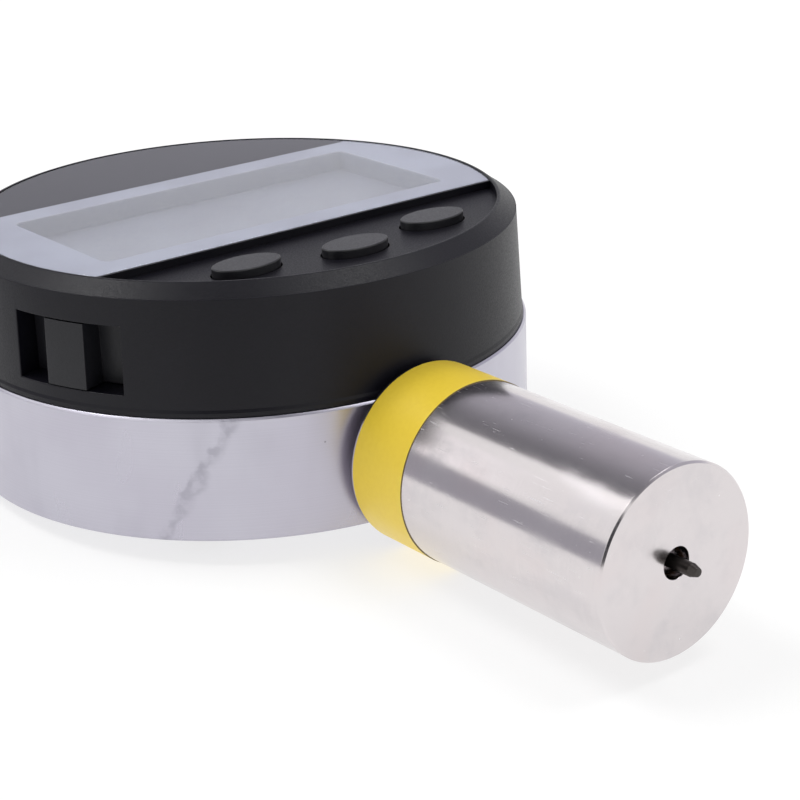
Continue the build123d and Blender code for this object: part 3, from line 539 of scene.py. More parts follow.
drawer_tray = block((tray_rear, -6.1, tray_low), (29, 6.1, tray_high), drawer_turn)
carve(drawer_tray, block((tray_rear - 1, -7, cell_high - 0.25), (plate_back, 7, 23), drawer_turn))
cell_place = on_circle(cell_centre, drawer_turn)[:2]
carve(drawer_tray, rod(5.9, (*cell_place, cell_low), (*cell_place, 22), 128))
carve(drawer_tray, block((tray_rear - 1, -5.5, 17.1), (cell_centre, 5.5, 23), drawer_turn))
keep_shared(drawer_tray, rod(pocket_radius, (0, 0, 14), (0, 0, 22), HEAD_STEPS))
rib = block((plate_back + 0.5, -2.3, tray_low), (31, 2.3, tray_high), drawer_turn)
wall_form = turned_upright("wall_form", [(0, 12), (29.65, 12), wall_top, (0, wall_top[1])])
keep_shared(rib, wall_form)
join(drawer_tray, rib)


def on_the_front(v):
    return v.xy.length > pocket_radius - 0.1


print("drawer edges:", soften(drawer_tray, on_the_front, 0.1, 3, 35))
drawer_tray.name = drawer_tray.data.name = "drawer_tray"
smooth(drawer_tray)
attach(drawer_tray, "battery_drawer")
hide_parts("battery_drawer")
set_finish(drawer_tray, "drawer_plastic")

button_cell = turned_upright("button_cell", [
    (0, cell_low), (5.8, cell_low, 0.3), (5.8, cell_high - 0.25, 0.12), (5.15, cell_high - 0.25, 0.05),
    (5.05, cell_high - 0.35, 0.05), (4.95, cell_high - 0.3, 0.05), (4.9, cell_high, 0.12), (0, cell_high),
], at=cell_place, steps=96)
smooth(button_cell)
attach(button_cell, "battery_drawer")
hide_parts("battery_cell")
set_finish(button_cell, "cell_steel")

# %% [markdown]
# ## The probe
#
# A steel barrel with a flat end, which is the presser foot. Its rear is covered by a thin band of
# yellow vinyl. The indenter's tip looks out of the small hole in the foot.

# %% Barrel, band and indenter
barrel_rear, barrel_front, foot_inner = 30.4, 64.3, 61.8
barrel_radius, barrel_bore, foot_hole_radius = 9.0, 6.0, 1.5
barrel_chamfer = 0.2
barrel_tube = turned_on_probe("barrel_tube", [
    (barrel_rear, barrel_bore), (barrel_rear, barrel_radius - barrel_chamfer, 0.05),
    (barrel_rear + barrel_chamfer, barrel_radius, 0.05),
    (barrel_front - barrel_chamfer, barrel_radius, 0.05),
    (barrel_front, barrel_radius - barrel_chamfer, 0.04), (barrel_front, foot_hole_radius, 0.08),
    (foot_inner, foot_hole_radius, 0.05), (foot_inner, barrel_bore), (barrel_rear, barrel_bore),
])
smooth(barrel_tube)
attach(barrel_tube, "head")
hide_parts("probe_barrel")
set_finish(barrel_tube, "barrel_steel")

band_rear, band_front = 30.85, 38.1
band_radius = barrel_radius + 0.08
label_band = turned_on_probe("label_band", [
    (band_rear, barrel_radius), (band_rear, band_radius, 0.02), (band_front, band_radius, 0.02),
    (band_front, barrel_radius), (band_rear, barrel_radius),
])
smooth(label_band)
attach(label_band, "head")
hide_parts("probe_label")
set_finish(label_band, "label_yellow")

tip, cone_start, grip_start = 66.8, 66.07, 57.0
shank_radius, tip_radius = 0.625, 0.395
indenter_pin = turned_on_probe("indenter_pin", [
    (grip_start, 0), (grip_start, shank_radius, 0.05), (cone_start, shank_radius, 0.05),
    (tip, tip_radius, 0.03), (tip, 0),
], steps=64)
smooth(indenter_pin)
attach(indenter_pin, "plunger")
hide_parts("indenter")
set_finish(indenter_pin, "indenter_steel")

# %% [markdown]
# ## Screws in the back
#
# Four countersunk pockets in the back hold the screws that keep the head together. One screw is
# turned, gets its cross recess, and is copied to the other three places.

# %% Case screws
screw_low, screw_head_top, screw_end = 0.1, 1.2, 10.0
screw_head_radius, screw_radius = 2.2, 1.25
one_screw = turned_upright("one_screw", [
    (0, screw_low), (screw_head_radius, screw_low, 0.35), (screw_head_radius, screw_head_top, 0.1),
    (screw_radius, screw_head_top), (screw_radius, screw_end - 0.4),
    (screw_radius - 0.4, screw_end), (0, screw_end),
], steps=64)
for turn in (0, 90):
    arm = block((-1.3, -0.25, screw_low - 0.5), (1.3, 0.25, screw_low + 0.5), turn)
    carve(one_screw, arm)
soften(one_screw, lambda v: v.z < screw_low + 0.01 and v.xy.length < 1.4, 0.05, 2)
smooth(one_screw)
slot_turn = 1.7  # each cross stops at another angle, as screws do
for number, angle in enumerate(post_angles, 1):
    x, y, _ = on_circle(post_circle, angle)
    screw = copied(one_screw, f"case_screw_{number}", x, y, angle * slot_turn)
    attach(screw, "head")
    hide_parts("housing_screws")
    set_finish(screw, "screw_steel")
bpy.data.objects.remove(one_screw)

# %% [markdown]
# ## Springs and snap domes
#
# The coil spring shortens when the plunger goes in, and a snap dome is pushed flat under its
# button. Their CAD solids have the right shape but can't change it. Each is copied and its loose
# triangles are merged; the copy keeps the solid's shape.

# %% Coil spring and snap domes
node_slots = {part["node"]: part["material_slot"] for part in frame["record"]["subparts"]}


def springy(node_name, name):
    """A copy of a node with its loose triangles merged, shaded smooth and fixed to the head, in place of
    the node.
    """
    copy = bpy.data.objects.new(name, nodes[node_name].data.copy())
    bpy.context.scene.collection.objects.link(copy)
    copy.data.name = name
    pick(copy)
    bpy.ops.object.mode_set(mode="EDIT")
    bpy.ops.mesh.select_all(action="SELECT")
    bpy.ops.mesh.remove_doubles(threshold=mm / 10000)
    smooth(copy)
    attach(copy, "head")
    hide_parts(node_name)
    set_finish(copy, node_slots[node_name])
    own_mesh(copy)


springy("load_spring", "coil_spring")
for side in button_places:
    springy(f"{side}_dome", f"{side}_snap_dome")

# %% [markdown]
# ## Finishes
#
# Every finish is made of nodes, so it has no picture behind it and stays sharp at any distance. The
# patterns read Object coordinates, which are metres here, so a pattern's size is the real one.
# Numbers that are the same all over are typed straight into the shader.


# %% Finish helpers
for packed in bpy.data.materials:
    packed.name = "packed_" + packed.name


def shade(red, green, blue):
    """A colour as written on a screen, 0 to 255, as the linear values that a shader takes."""
    parts = (red / 255, green / 255, blue / 255)
    return tuple(c / 12.92 if c <= 0.0404 else ((c + 0.055) / 1.055) ** 2.4 for c in parts)


def new_finish(name, colour, roughness, metallic=0.0, specular=0.5):
    finish = bpy.data.materials.new(name)
    finish.use_nodes = True
    shader = finish.node_tree.nodes["Principled BSDF"]
    shader.inputs["Base Color"].default_value = (*colour, 1)
    shader.inputs["Roughness"].default_value = roughness
    shader.inputs["Metallic"].default_value = metallic
    shader.inputs["Specular IOR Level"].default_value = specular
    return finish


def shader_of(finish):
    return finish.node_tree.nodes["Principled BSDF"]


def add_node(finish, kind, **settings):
    made = finish.node_tree.nodes.new(kind)
    for key, value in settings.items():
        setattr(made, key, value)
    return made


def link(finish, source, target):
    finish.node_tree.links.new(source, target)


def place(finish):
    """Object coordinates in millimetres."""
    coordinates = add_node(finish, "ShaderNodeTexCoord")
    scaled = add_node(finish, "ShaderNodeVectorMath", operation="SCALE")
    scaled.inputs["Scale"].default_value = 1 / mm
    link(finish, coordinates.outputs["Object"], scaled.inputs[0])
    return scaled.outputs["Vector"]


def sums(finish, operation, first, second, third=None, clamp=False):
    """A Math node. Each of its inputs is a number or another node's output."""
    made = add_node(finish, "ShaderNodeMath", operation=operation, use_clamp=clamp)
    for socket, value in zip(made.inputs, (first, second, third)):
        if isinstance(value, (int, float)):
            socket.default_value = value
        elif value is not None:
            link(finish, value, socket)
    return made.outputs["Value"]


def noise(finish, where, size, detail=3.0, stretch=(1, 1, 1), roughness=0.5):
    """Noise whose blobs are about size millimetres, longer along an axis by its stretch."""
    scaled = add_node(finish, "ShaderNodeVectorMath", operation="MULTIPLY")
    link(finish, where, scaled.inputs[0])
    scaled.inputs[1].default_value = [1 / (size * s) for s in stretch]
    made = add_node(finish, "ShaderNodeTexNoise")
    made.inputs["Scale"].default_value = 1.0
    made.inputs["Detail"].default_value = detail
    made.inputs["Roughness"].default_value = roughness
    link(finish, scaled.outputs["Vector"], made.inputs["Vector"])
    return made.outputs["Fac"]


def spread(finish, factor, low, high, to_low, to_high):
    """Maps a factor from one range to another, with soft ends."""
    made = add_node(finish, "ShaderNodeMapRange", interpolation_type="SMOOTHSTEP")
    link(finish, factor, made.inputs["Value"])
    for key, value in (("From Min", low), ("From Max", high), ("To Min", to_low), ("To Max", to_high)):
        made.inputs[key].default_value = value
    return made.outputs["Result"]


def blend_colours(finish, factor, first, second):
    """Mixes two colours, each written down or another node's output."""
    made = add_node(finish, "ShaderNodeMix", data_type="RGBA")
    link(finish, factor, made.inputs["Factor"])
    for socket, value in ((made.inputs[6], first), (made.inputs[7], second)):
        if isinstance(value, tuple):
            socket.default_value = (*value, 1)
        else:
            link(finish, value, socket)
    return made.outputs[2]


def layer(finish, under, mask, share, over):
    """Lays over on under where the mask is 1, so thick that share of it shows."""
    return blend_colours(finish, sums(finish, "MULTIPLY", mask, share), under, over)


def mottled(finish, factor, first, second, share=1.0, low=0.35, high=0.65):
    """Passes from the first colour towards the second with a noise factor."""
    return blend_colours(finish, spread(finish, factor, low, high, 0.0, share), first, second)


def colour_from(finish, colour):
    link(finish, colour, shader_of(finish).inputs["Base Color"])


def roughness_from(finish, value):
    link(finish, value, shader_of(finish).inputs["Roughness"])


def relief(finish, height, depth, strength=1.0):
    """Bump from a height factor. depth is the real depth in millimetres."""
    made = add_node(finish, "ShaderNodeBump")
    made.inputs["Distance"].default_value = depth * mm
    made.inputs["Strength"].default_value = strength
    link(finish, height, made.inputs["Height"])
    link(finish, made.outputs["Normal"], shader_of(finish).inputs["Normal"])


def rings_about(finish, where, across, along):
    """Distance from an axis and place along it, so that a pattern runs in rings, and the three parts."""
    parts = add_node(finish, "ShaderNodeSeparateXYZ")
    link(finish, where, parts.inputs["Vector"])
    flat = add_node(finish, "ShaderNodeVectorMath", operation="MULTIPLY")
    link(finish, where, flat.inputs[0])
    flat.inputs[1].default_value = across
    radius = add_node(finish, "ShaderNodeVectorMath", operation="LENGTH")
    link(finish, flat.outputs["Vector"], radius.inputs[0])
    rings = add_node(finish, "ShaderNodeCombineXYZ")
    link(finish, radius.outputs["Value"], rings.inputs["X"])
    link(finish, parts.outputs[along], rings.inputs[along])
    return rings.outputs["Vector"], parts


def from_probe_axis(finish, where):
    """The place counted from the probe's axis."""
    moved = add_node(finish, "ShaderNodeVectorMath", operation="SUBTRACT")
    link(finish, where, moved.inputs[0])
    moved.inputs[1].default_value = (0, 0, probe_height)
    return moved.outputs["Vector"]


def specks(finish, where, cell, size, share):
    """1 in small round specks, at most one in each cell of the pattern, and 0 between them."""
    scaled = add_node(finish, "ShaderNodeVectorMath", operation="SCALE")
    scaled.inputs["Scale"].default_value = 1 / cell
    link(finish, where, scaled.inputs[0])
    dots = add_node(finish, "ShaderNodeTexVoronoi")
    dots.inputs["Scale"].default_value = 1.0
    link(finish, scaled.outputs["Vector"], dots.inputs["Vector"])
    near = sums(finish, "LESS_THAN", dots.outputs["Distance"], size / cell)
    parts = add_node(finish, "ShaderNodeSeparateColor")
    link(finish, dots.outputs["Color"], parts.inputs["Color"])
    picked = sums(finish, "LESS_THAN", parts.outputs["Red"], share)
    return sums(finish, "MULTIPLY", near, picked)


# %% [markdown]
# ## Turned metal
#
# A turned face has very fine rings round its axis. The case is satin and carries a wiped smear near
# the probe; the barrel is finer and shinier, with a few hairline scratches and specks of dust.

# %% Case metal
case_metal = new_finish("case_metal", shade(186, 183, 195), 0.3, 1.0)
where = place(case_metal)
rings, parts = rings_about(case_metal, where, (1, 1, 0), "Z")
lathe_lines = noise(case_metal, rings, 0.12, 2.0)
clouds = noise(case_metal, where, 14.0, 3.0)
wipes = noise(case_metal, where, 5.0, 2.0, (1, 1, 2.5))

smear_angle = radians(227)
along = sums(case_metal, "MULTIPLY_ADD", parts.outputs["X"], -sin(smear_angle),
             sums(case_metal, "MULTIPLY", parts.outputs["Y"], cos(smear_angle)))
outward = sums(case_metal, "MULTIPLY_ADD", parts.outputs["X"], cos(smear_angle),
               sums(case_metal, "MULTIPLY", parts.outputs["Y"], sin(smear_angle)))
smear_slope, smear_height = 0.62, 6.5
path = sums(case_metal, "MULTIPLY_ADD", parts.outputs["Z"], -smear_slope, smear_slope * smear_height)
wander = sums(case_metal, "MULTIPLY_ADD", noise(case_metal, where, 2.2, 4.0), 3.4, -1.7)
beside_path = sums(case_metal, "ADD", sums(case_metal, "ADD", along, path), wander)
off_path = sums(case_metal, "ABSOLUTE", beside_path, 0)
smear_line = spread(case_metal, off_path, 0.25, 1.05, 1.0, 0.0)
smear_break = spread(case_metal, noise(case_metal, where, 1.1, 3.0), 0.34, 0.62, 0.25, 1.0)
on_front = sums(case_metal, "GREATER_THAN", outward, 20.0)
smear = sums(case_metal, "MULTIPLY", sums(case_metal, "MULTIPLY", smear_line, smear_break), on_front)

clean = mottled(case_metal, clouds, shade(190, 187, 199), shade(196, 194, 205))
lined = mottled(case_metal, lathe_lines, clean, shade(160, 158, 168), 0.14, 0.3, 0.7)
wiped = mottled(case_metal, wipes, lined, shade(150, 148, 160), 0.14, 0.5, 0.8)
smeared = layer(case_metal, wiped, smear, 0.36, shade(142, 140, 152))
spots = specks(case_metal, where, 6.0, 0.11, 0.3)
colour_from(case_metal, layer(case_metal, smeared, spots, 0.5, shade(90, 88, 98)))
roughness_from(case_metal, sums(case_metal, "ADD", spread(case_metal, wipes, 0.3, 0.8, 0.27, 0.34),
                                sums(case_metal, "MULTIPLY", smear, 0.12)))
relief(case_metal, lathe_lines, 0.002, 0.5)

# %% Barrel steel
barrel_steel = new_finish("barrel_steel", shade(217, 212, 213), 0.16, 1.0)
where = place(barrel_steel)
rings, parts = rings_about(barrel_steel, from_probe_axis(barrel_steel, where), (1, 0, 1), "Y")
on_side = sums(barrel_steel, "GREATER_THAN", parts.outputs["Y"], -(barrel_front - 0.25))
grind_lines = noise(barrel_steel, rings, 0.09, 3.0)
grind_arcs = noise(barrel_steel, where, 0.07, 2.0, (45, 1, 45))
side_lines = sums(barrel_steel, "MULTIPLY", spread(barrel_steel, grind_arcs, 0.35, 0.75, 0.0, 1.0), on_side)
hairlines = spread(barrel_steel, noise(barrel_steel, where, 0.13, 2.0, (1, 26, 1)), 0.68, 0.75, 0.0, 0.8)
nicks = spread(barrel_steel, noise(barrel_steel, where, 0.1, 2.0, (10, 3, 1)), 0.72, 0.79, 0.0, 1.0)
tarnish = noise(barrel_steel, where, 3.5, 5.0, (1, 1.6, 1), 0.6)
blush = noise(barrel_steel, where, 9.0, 2.0)
dust = specks(barrel_steel, where, 2.3, 0.08, 0.2)
pits = specks(barrel_steel, where, 3.1, 0.1, 0.12)
ground = layer(barrel_steel, shade(219, 213, 214), side_lines, 0.1, shade(184, 180, 184))
tarnished = mottled(barrel_steel, tarnish, ground, shade(190, 187, 192), 0.22, 0.45, 0.72)
blushed = mottled(barrel_steel, blush, tarnished, shade(222, 208, 208), 0.3, 0.5, 0.75)
scratches = sums(barrel_steel, "MAXIMUM", hairlines, nicks)
scratched = layer(barrel_steel, blushed, scratches, 0.45, shade(244, 243, 246))
pitted = layer(barrel_steel, scratched, pits, 0.45, shade(120, 116, 118))
colour_from(barrel_steel, layer(barrel_steel, pitted, dust, 0.85, shade(250, 250, 250)))
rougher = sums(barrel_steel, "MULTIPLY", sums(barrel_steel, "MAXIMUM", scratches, dust), 0.2)
polish = spread(barrel_steel, tarnish, 0.4, 0.75, 0.15, 0.24)
roughness_from(barrel_steel, sums(barrel_steel, "ADD", polish, rougher))
relief(barrel_steel, sums(barrel_steel, "MULTIPLY", grind_lines, on_side), 0.001, 0.35)

# %% [markdown]
# ## Moulded plastic
#
# The black housing has the fine grain that the mould's etched surface leaves. The drawer, the
# buttons and the pale window frame are mouldings too, each with its own grain and shine.


# %% Plastics
def moulded(name, colour, roughness, grain, depth, specular=0.5, dusty=0.0):
    """Plastic with an etched grain, slight shade changes and, where it is dusty, pale specks."""
    finish = new_finish(name, colour, roughness, 0.0, specular)
    where = place(finish)
    fine = noise(finish, where, grain, 2.0)
    broad = noise(finish, where, 9.0, 3.0)
    lighter = tuple(min(1.0, c * 1.35 + 0.002) for c in colour)
    base = mottled(finish, broad, colour, lighter, 0.5)
    if dusty:
        base = layer(finish, base, specks(finish, where, 3.4, 0.07, 0.1), dusty, shade(170, 170, 170))
    colour_from(finish, base)
    roughness_from(finish, spread(finish, fine, 0.3, 0.7, roughness - 0.05, roughness + 0.08))
    relief(finish, fine, depth, 0.6)
    return finish


housing_plastic = moulded("housing_plastic", shade(11, 10, 19), 0.4, 0.16, 0.014, 0.27, 0.8)
drawer_plastic = moulded("drawer_plastic", shade(24, 24, 29), 0.42, 0.2, 0.012, 0.35, 0.3)
button_plastic = moulded("button_plastic", shade(22, 22, 27), 0.33, 0.12, 0.003, 0.5)
inner_plastic = moulded("inner_plastic", shade(205, 205, 200), 0.5, 0.4, 0.01)
connector_rubber = moulded("connector_rubber", shade(196, 120, 140), 0.6, 0.1, 0.01)
chip_black = moulded("chip_black", shade(28, 28, 30), 0.45, 0.08, 0.005)
ribbon_film = moulded("ribbon_film", shade(188, 116, 40), 0.35, 0.5, 0.004)

# %% Window frame: pale border, inner walls darker in painted shade
frame_grey = new_finish("frame_grey", shade(176, 179, 192), 0.5, 0.0, 0.3)
where = place(frame_grey)
parts = add_node(frame_grey, "ShaderNodeSeparateXYZ")
link(frame_grey, where, parts.inputs["Vector"])
grain = noise(frame_grey, where, 0.3, 2.0)
drift = noise(frame_grey, where, 10.0, 2.0)
border = mottled(frame_grey, drift, shade(153, 155, 168), shade(161, 164, 177))
# The inner walls round the sunken LCD are painted darker and bluer than the border on top: painted shade in
# the window's recess.
walls_painted_shade = mottled(frame_grey, grain, shade(114, 119, 134), shade(106, 111, 126), 0.3, 0.3, 0.7)
on_top = spread(frame_grey, parts.outputs["Z"], frame_top - 0.15, frame_top - 0.03, 0.0, 1.0)
colour_from(frame_grey, blend_colours(frame_grey, on_top, walls_painted_shade, border))
roughness_from(frame_grey, spread(frame_grey, grain, 0.3, 0.7, 0.45, 0.58))
relief(frame_grey, grain, 0.006, 0.5)

# %% [markdown]
# ## Vinyl, glass and the LCD
#
# The band is yellow vinyl: glossy, a little uneven where it was smoothed down, and dark brown along
# its front edge. The lens is clear acrylic. Lamps would be stopped by glass, so for the rays that look
# for a lamp it is plainly see-through.

# %% Yellow vinyl
label_yellow = new_finish("label_yellow", shade(226, 196, 52), 0.34)
where = place(label_yellow)
parts = add_node(label_yellow, "ShaderNodeSeparateXYZ")
link(label_yellow, where, parts.inputs["Vector"])
ripple = noise(label_yellow, where, 5.0, 2.0, (1, 2, 1))
print_tone = noise(label_yellow, where, 0.5, 2.0)
yellow = mottled(label_yellow, print_tone, shade(247, 215, 68), shade(240, 206, 60), 0.35, 0.3, 0.7)
# The band's front edge face is coloured dark brown, which draws a thin dark line between band and barrel.
cut_edge = sums(label_yellow, "LESS_THAN", parts.outputs["Y"], -(band_front - 0.03))
colour_from(label_yellow, blend_colours(label_yellow, cut_edge, yellow, shade(128, 110, 62)))
roughness_from(label_yellow, spread(label_yellow, ripple, 0.3, 0.7, 0.28, 0.42))
relief(label_yellow, ripple, 0.03, 0.35)

# %% LCD glass
lcd_glass = new_finish("lcd_glass", shade(116, 120, 131), 0.32, 0.0, 0.3)
where = place(lcd_glass)
haze = noise(lcd_glass, where, 12.0, 2.0)
weave = noise(lcd_glass, where, 0.25, 1.0)
film = mottled(lcd_glass, haze, shade(101, 103, 116), shade(108, 111, 124))
colour_from(lcd_glass, mottled(lcd_glass, weave, film, shade(95, 98, 111), 0.12, 0.4, 0.6))
roughness_from(lcd_glass, spread(lcd_glass, weave, 0.3, 0.7, 0.28, 0.36))

# %% Clear lens
lens_clear = new_finish("lens", (0.97, 0.98, 1.0), 0.03)
shader_of(lens_clear).inputs["Transmission Weight"].default_value = 1.0
shader_of(lens_clear).inputs["IOR"].default_value = 1.49
where = place(lens_clear)
wear = noise(lens_clear, where, 4.0, 4.0)
roughness_from(lens_clear, spread(lens_clear, wear, 0.45, 0.75, 0.02, 0.07))
ray = add_node(lens_clear, "ShaderNodeLightPath")
see_through = add_node(lens_clear, "ShaderNodeBsdfTransparent")
either = add_node(lens_clear, "ShaderNodeMixShader")
link(lens_clear, ray.outputs["Is Shadow Ray"], either.inputs["Fac"])
link(lens_clear, shader_of(lens_clear).outputs["BSDF"], either.inputs[1])
link(lens_clear, see_through.outputs["BSDF"], either.inputs[2])
link(lens_clear, either.outputs["Shader"], lens_clear.node_tree.nodes["Material Output"].inputs["Surface"])

# %% [markdown]
# ## The other metals and the boards
#
# Screws, springs, bushes and boards are mostly hidden, but they show when the drawer is open or a
# piece is lifted out, so each gets its own worked surface too.


# %% Small metal parts and boards
def worked_metal(name, colour, roughness, grain, stretch=(1, 1, 1), specular=0.5):
    """Metal with fine tool marks and a little tarnish."""
    finish = new_finish(name, colour, roughness, 1.0, specular)
    where = place(finish)
    marks = noise(finish, where, grain, 2.0, stretch)
    tarnish = noise(finish, where, 3.0, 3.0)
    darker = tuple(c * 0.7 for c in colour)
    base = mottled(finish, tarnish, colour, darker, 0.5, 0.4, 0.7)
    colour_from(finish, mottled(finish, marks, base, darker, 0.25))
    roughness_from(finish, spread(finish, marks, 0.3, 0.7, roughness - 0.05, roughness + 0.1))
    relief(finish, marks, 0.004, 0.4)
    return finish


screw_steel = worked_metal("screw_steel", shade(176, 174, 172), 0.28, 0.12)
bracket_metal = worked_metal("bracket_metal", shade(196, 198, 202), 0.34, 0.15, (8, 1, 1))
spring_sheet = worked_metal("spring_sheet", shade(206, 190, 150), 0.25, 0.1, (1, 6, 1))
bush_bronze = worked_metal("bush_bronze", shade(134, 98, 60), 0.34, 0.12)
spring_steel = worked_metal("spring_steel", shade(170, 172, 176), 0.26, 0.1)
spindle_steel = worked_metal("spindle_steel", shade(206, 206, 208), 0.2, 0.08, (6, 1, 6))
cell_steel = worked_metal("cell_steel", shade(212, 210, 206), 0.22, 0.15)
indenter_steel = worked_metal("indenter_steel", shade(74, 70, 68), 0.34, 0.06, (4, 1, 4))


def board(name, colour, trace):
    """A circuit board: solder mask with a faint pattern of traces under it."""
    finish = new_finish(name, colour, 0.4)
    where = place(finish)
    snapped = add_node(finish, "ShaderNodeVectorMath", operation="SNAP")
    link(finish, where, snapped.inputs[0])
    snapped.inputs[1].default_value = (0.8, 0.3, 5.0)
    runs = spread(finish, noise(finish, snapped.outputs["Vector"], 2.0, 1.0), 0.5, 0.56, 0.0, 0.6)
    colour_from(finish, blend_colours(finish, runs, colour, trace))
    roughness_from(finish, spread(finish, runs, 0.0, 1.0, 0.42, 0.3))
    relief(finish, runs, 0.03, 0.4)
    return finish


board_green = board("board_green", shade(24, 88, 56), shade(52, 124, 78))
scale_board = board("scale_board", shade(30, 76, 96), shade(190, 150, 70))

# %% Put the finishes on
finishes = {
    f.name: f for f in (
        case_metal, barrel_steel, housing_plastic, drawer_plastic, button_plastic, frame_grey,
        inner_plastic, connector_rubber, chip_black, ribbon_film, label_yellow, lcd_glass, lens_clear,
        screw_steel, bracket_metal, spring_sheet, bush_bronze, spring_steel, spindle_steel, cell_steel,
        indenter_steel, board_green, scale_board,
    )
}


def wear(piece, finish):
    """Gives every material slot of a piece this finish."""
    if not piece.data.materials:
        piece.data.materials.append(finish)
    for i in range(len(piece.data.materials)):
        piece.data.materials[i] = finish


for node_name, node in nodes.items():
    wear(node, finishes[node_slots[node_name]])
new_pieces = [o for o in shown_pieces() if "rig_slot" in o]
for piece in new_pieces:
    wear(piece, finishes[piece["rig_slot"]])
print("finished:", len(nodes), "nodes and", len(new_pieces), "pieces")

# %% [markdown]
# ## Floor, world and lamps
#
# The tester lies on its back, tipped a little towards the probe, so the floor is tipped the same
# way: it touches the case's far edge and the band. The floor is a light table, a matt white sheet
# that also glows, so that it stays white and the tester's shadow stays faint and soft. The world
# looks white to the camera and in reflections, and lights the tester less than that.


# %% Floor
def staged(piece, finish):
    piece.data.materials.append(finish)
    settle(piece)
    return piece


floor_finish = new_finish("floor", (0.35, 0.35, 0.35), 0.9, 0.0, 0.0)
shader_of(floor_finish).inputs["Emission Color"].default_value = (1, 1, 1, 1)
shader_of(floor_finish).inputs["Emission Strength"].default_value = 0.7
drop_selection()
bpy.ops.mesh.primitive_plane_add(size=8)
floor = bpy.context.object
floor.name = floor.data.name = "floor"
floor_tilt = atan2(band_radius - probe_height, case_radius + band_rear)
floor_drop = case_radius * mm * sin(floor_tilt)
floor.rotation_euler.x = floor_tilt
floor.location = (0, floor_drop * sin(floor_tilt), -floor_drop * cos(floor_tilt))
staged(floor, floor_finish)

# %% World
scene = bpy.context.scene
world = bpy.data.worlds.new("studio")
scene.world = world
world.use_nodes = True
sky = world.node_tree
ray = sky.nodes.new("ShaderNodeLightPath")
background = sky.nodes["Background"]
seen = ray.outputs["Is Camera Ray"]
for kind in ("Is Glossy Ray", "Is Transmission Ray"):
    either = sky.nodes.new("ShaderNodeMath")
    either.operation, either.use_clamp = "ADD", True
    sky.links.new(seen, either.inputs[0])
    sky.links.new(ray.outputs[kind], either.inputs[1])
    seen = either.outputs["Value"]
level = sky.nodes.new("ShaderNodeMapRange")
fill_level = 0.5
level.inputs["To Min"].default_value = fill_level
level.inputs["To Max"].default_value = 1.0
sky.links.new(seen, level.inputs["Value"])
background.inputs["Color"].default_value = (1, 1, 1, 1)
sky.links.new(level.outputs["Result"], background.inputs["Strength"])


# %% Softboxes
def facing(place_mm, target_mm=(0, 0, 12)):
    """Where a lamp stands and how it is turned to face the tester."""
    spot = Vector(place_mm) * mm
    return spot, (Vector(target_mm) * mm - spot).to_track_quat("-Z", "Y").to_euler()


def softbox(name, heading, height_angle, size_mm, brightness, distance_mm=1500):
    """A square lamp in a given direction. A brightness of 1 looks as bright as white paper."""
    lamp = bpy.data.lights.new(name, "AREA")
    lamp.shape = "SQUARE"
    lamp.size = size_mm * mm
    lamp.energy = brightness * pi * lamp.size ** 2
    stand = bpy.data.objects.new(name, lamp)
    flat = cos(radians(height_angle))
    out = Vector((flat * cos(radians(heading)), flat * sin(radians(heading)), sin(radians(height_angle))))
    stand.location, stand.rotation_euler = facing(out * distance_mm)
    scene.collection.objects.link(stand)
    return stand


key_left = softbox("key_left", 127, 60, 640, 6.0)
key_left.visible_glossy = False
softbox("key_right", -25, 67, 640, 4.0)


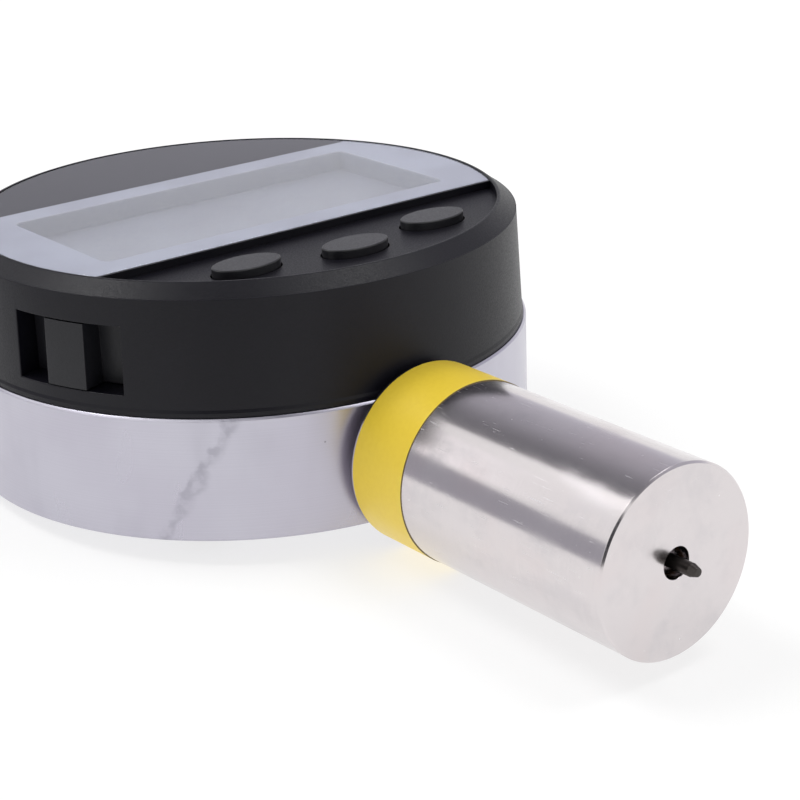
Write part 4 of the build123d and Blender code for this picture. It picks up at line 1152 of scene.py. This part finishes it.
# %% Cards that only reflections see
def card(name, corners_mm, levels, tint=(0.96, 0.95, 1.06)):
    """A flat card. levels are (x in millimetres, grey level) pairs, and it fades between them."""
    finish = new_finish(name, (0, 0, 0), 1.0, 0.0, 0.0)
    parts = add_node(finish, "ShaderNodeSeparateXYZ")
    link(finish, place(finish), parts.inputs["Vector"])
    first, last = levels[0][0], levels[-1][0]
    along = add_node(finish, "ShaderNodeMapRange")
    link(finish, parts.outputs["X"], along.inputs["Value"])
    along.inputs["From Min"].default_value, along.inputs["From Max"].default_value = first, last
    ramp = add_node(finish, "ShaderNodeValToRGB")
    link(finish, along.outputs["Result"], ramp.inputs["Fac"])
    stops = ramp.color_ramp.elements
    while len(stops) < len(levels):
        stops.new(0.5)
    for stop, (x, level) in zip(stops, levels):
        stop.position = (x - first) / (last - first)
        stop.color = (*(level * t for t in tint), 1)
    link(finish, ramp.outputs["Color"], shader_of(finish).inputs["Emission Color"])
    shader_of(finish).inputs["Emission Strength"].default_value = 1.0
    drop_selection()
    bpy.ops.mesh.primitive_plane_add(size=1)
    made = bpy.context.object
    made.name = made.data.name = name
    for corner, v in zip(corners_mm, made.data.vertices):
        v.co = Vector(corner) * mm
    made.visible_camera = made.visible_diffuse = made.visible_shadow = made.visible_transmission = False
    return staged(made, finish)


ceiling_height, card_start, card_end = 1600, -410, 5400
card("ceiling_card", [(x, y, ceiling_height) for y in (-1800, 6600) for x in (card_start, card_end)], [
    (card_start, 0.19), (0, 0.21), (260, 0.27), (500, 0.34), (760, 0.42),
    (1400, 0.51), (2500, 0.57), (3500, 0.62), (card_end, 0.75),
])
card("bright_card", [(-658, 900, 337), (-310, 900, 687), (-846, 900, 517), (-498, 900, 867)],
     [(-846, 1.3), (-500, 1.2), (-310, 0.95)], (1.0, 0.98, 1.0))
card("key_card", [(-300, 130, 500), (-120, 130, 500), (-300, 310, 500), (-120, 310, 500)],
     [(-300, 9.0), (-120, 7.0)], (1.0, 1.0, 1.0))
card("low_card", [(-150, 24, 0), (-60, 102, 3), (-150, 24, 57), (-60, 102, 60)],
     [(-150, 0.42), (-60, 0.42)])
card("front_card", [(-650, -350, -18), (-250, -650, -32), (-650, -350, 520), (-250, -650, 520)],
     [(-650, 0.06), (-250, 0.06)])

# %% [markdown]
# ## Camera
#
# The camera stands to the left of the probe and looks down on the head, tipped a little to one side.

# %% Camera
camera = bpy.data.objects.new("camera", bpy.data.cameras.new("camera"))
scene.collection.objects.link(camera)
azimuth, elevation, roll = radians(-37.36), radians(21.17), radians(-2.23)
back = Vector((sin(azimuth) * cos(elevation), -cos(azimuth) * cos(elevation), sin(elevation)))
right = Vector((cos(azimuth), sin(azimuth), 0))
up = back.cross(right)
right, up = cos(roll) * right + sin(roll) * up, cos(roll) * up - sin(roll) * right
turn = Matrix((right, up, back)).transposed().to_4x4()
camera.matrix_world = Matrix.Translation(Vector((-110.6255, -171.6366, 81.0106)) * mm) @ turn
camera.data.sensor_width = 36
camera.data.lens = 90.278
camera.data.clip_start = 0.01
scene.camera = camera
scene.view_settings.view_transform = "Standard"
